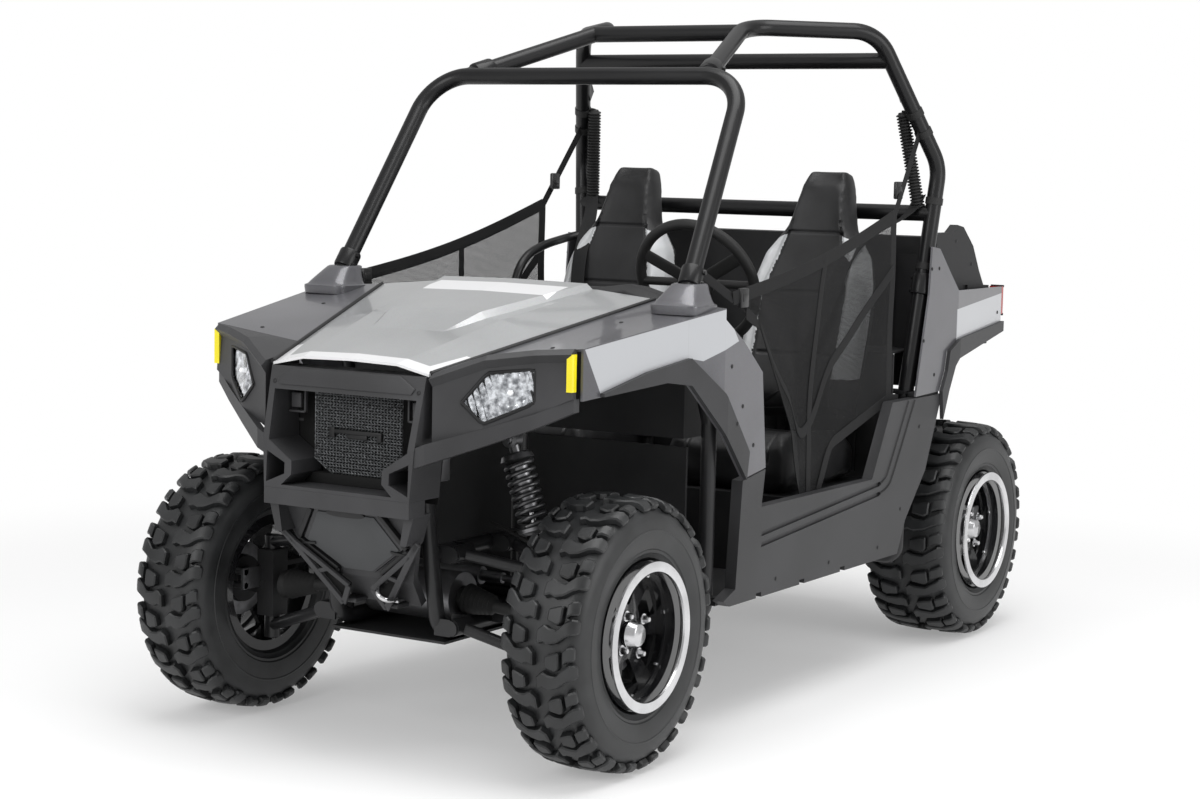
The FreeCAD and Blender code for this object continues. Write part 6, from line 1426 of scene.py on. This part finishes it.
for y in (-0.196, -0.07, 0.07, 0.196):
    pipes.append(turned(
        "band", [(0.0755, -0.008), (0.0785, -0.007), (0.0785, 0.007), (0.0755, 0.008), (0.0740, 0.0)],
        (-1.0557, y, 0.650), (0, 1, 0), 56))
fitted("exhaust_pipes", pipes, muffler_steel, 40)

# Radiator trim: a brazed core of alloy fins between two side tanks, with its filler cap. It is clipped
# to the block behind the screen.
fins = [block("tank", (1.136, -0.200, 0.650), (1.181, -0.178, 0.860), 0.005),
        block("tank", (1.136, 0.178, 0.650), (1.181, 0.200, 0.860), 0.005)]
for z in spaced(0.658, 0.0082, 24):
    fins.append(block("fin", (1.1375, -0.178, z), (1.1395, 0.178, z + 0.002), 0.0004, 1))
fins.append(turned("cap", [(0, 0.016), (0.018, 0.015), (0.022, 0.010), (0.022, 0.0), (0, 0.0)],
                   (1.158, 0.150, 0.858), (0, 0, 1), 24))
fitted("radiator_fins", fins, cast_alloy)

# Chassis trim: steel bolts under the skid sheet, pleated rubber boots clamped on both ends of the half
# shafts, and rubber brake hoses that run out along the arms.
skid_face = 0.2598
bolts = []
for x in (-1.05, -0.70, -0.35, 0.0, 0.35, 0.70, 1.02):
    for y in (-0.145, 0.145):
        bolts.append(turned("bolt", [(0, 0.0030), (0.007, 0.0026), (0.009, 0.0006), (0.009, -0.001),
                                     (0, -0.001)], (x, y, skid_face), (0, 0, -1), 12))
fitted("skid_bolts", bolts, bar_steel, 40)
pleat_count, pleat_step, boot_length = 7, 0.0115, 0.114
for end, x in (("front", 0.974), ("rear", -0.982)):
    pleats = []
    for out in (1, -1):
        start, stop = Vector((x, out * 0.126, 0.3475)), Vector((x, out * 0.430, hub_height))
        along = (stop - start).normalized()
        length = (stop - start).length
        for begin, inner_end in ((0.012, True), (length - boot_length, False)):
            profile = [(0.010, begin - 0.004)]
            for number in range(pleat_count):
                wide = 0.0375 - 0.0022 * (number if inner_end else pleat_count - 1 - number)
                reach = begin + pleat_step * number
                profile += [(wide - 0.006, reach), (wide, reach + 0.0045), (wide - 0.006, reach + 0.009)]
            profile.append((0.010, begin + 0.084))
            pleats.append(turned("pleats", profile, start, along, 32))
    fitted(f"shaft_boots_{end}", pleats, shaft_rubber, 30)
hoses = []
for out in (1, -1):
    hoses.append(bent_tube("hose", [
        (0.900, out * 0.150, 0.520), (0.905, out * 0.230, 0.500), (0.925, out * 0.320, 0.470),
        (0.935, out * 0.385, 0.440), (0.940, out * 0.425, 0.400)], 0.0045, 2))
    hoses.append(bent_tube("hose", [
        (-0.905, out * 0.150, 0.520), (-0.910, out * 0.230, 0.495), (-0.925, out * 0.310, 0.455),
        (-0.930, out * 0.365, 0.420)], 0.0045, 2))
fitted("brake_hoses", hoses, shaft_rubber, 60)

# Brake calipers: a cast alloy caliper astride each disc, bolted to the knuckle in front and to the
# carrier at the rear by a bracket with two steel pins.
for corner, (x, y, half) in wheels.items():
    out = 1 if y > 0 else -1
    body = "knuckle_body_" + corner[6:] if corner.startswith("front") else "chassis"
    reach = 1 if corner.startswith("front") else -1
    parts = []
    root = 0.470 if reach > 0 else 0.436
    for name, near, far, low, high, foot, top, round_by, segments in (
            ("half", 0.062, 0.104, 0.5385, 0.5515, 0.300, 0.372, 0.004, 3),
            ("half", 0.064, 0.104, 0.5595, 0.5725, 0.300, 0.372, 0.004, 3),
            ("half", 0.0955, 0.108, 0.5385, 0.5725, 0.300, 0.372, 0.004, 3),
            ("bracket", 0.018, 0.092, root, root + 0.010, 0.308, 0.362, 0.003, 2)):
        (x0, x1), (y0, y1) = sorted((reach * near, reach * far)), sorted((out * low, out * high))
        parts.append(block(name, (x + x0, y0, foot), (x + x1, y1, top), round_by, segments))
    for z in (0.318, 0.352):
        parts.append(turned("pin", [(0, 0.0), (0.008, 0.0), (0.008, 0.545 - root), (0, 0.545 - root)],
                            (x + reach * 0.082, out * root, z), (0, out, 0), 16))
    finished(joined("brake_caliper_" + corner, parts), cast_alloy, body, 35)

# Rocker and fender trim: twin raised beads that carry the rocker's grooves up its rear column, and a black
# moulded closing strip and inner panel, clipped between rocker, rear fender and cargo box.
beads = []
for out in (1, -1):
    for points in ([(-0.300, 0.498), (-0.352, 0.506), (-0.386, 0.545), (-0.512, 0.738)],
                   [(-0.300, 0.525), (-0.332, 0.532), (-0.356, 0.562), (-0.470, 0.738)]):
        beads.append(bent_tube("bead", [(x, out * 0.6055, z) for x, z in points], 0.0038, 2, 3))
fitted("rocker_beads", beads, trim_black, 60)
fillers = []
for out in (1, -1):
    a0, a1 = sorted((out * 0.574, out * 0.600))
    fillers.append(block("strip", (-0.690, a0, 0.736), (-0.530, a1, 0.758), 0.003))
    a0, a1 = sorted((out * 0.470, out * 0.604))
    fillers.append(plate("inner", [(a0, 0.760), (a1, 0.760), (a1, 1.135), (a0, 1.135)], "x", -0.669, -0.664))
fitted("fender_fillers", fillers, inner_plastic)

# Rear wall of the cab: moulded panel between the seat backs and the engine, with upright ribs and a shelf
# over it that ends under the cargo box. Screws hold it to the seat platform.
wall = [block("wall", (-0.4685, -0.560, 0.508), (-0.463, 0.560, 0.866), 0.002),
        block("shelf", (-0.690, -0.530, 0.861), (-0.463, 0.530, 0.868), 0.002)]
for y in spaced(-0.44, 0.22, 5):
    wall.append(block("rib", (-0.465, y - 0.014, 0.530), (-0.457, y + 0.014, 0.850), 0.003))
fitted("cab_rear_wall", wall, inner_plastic)
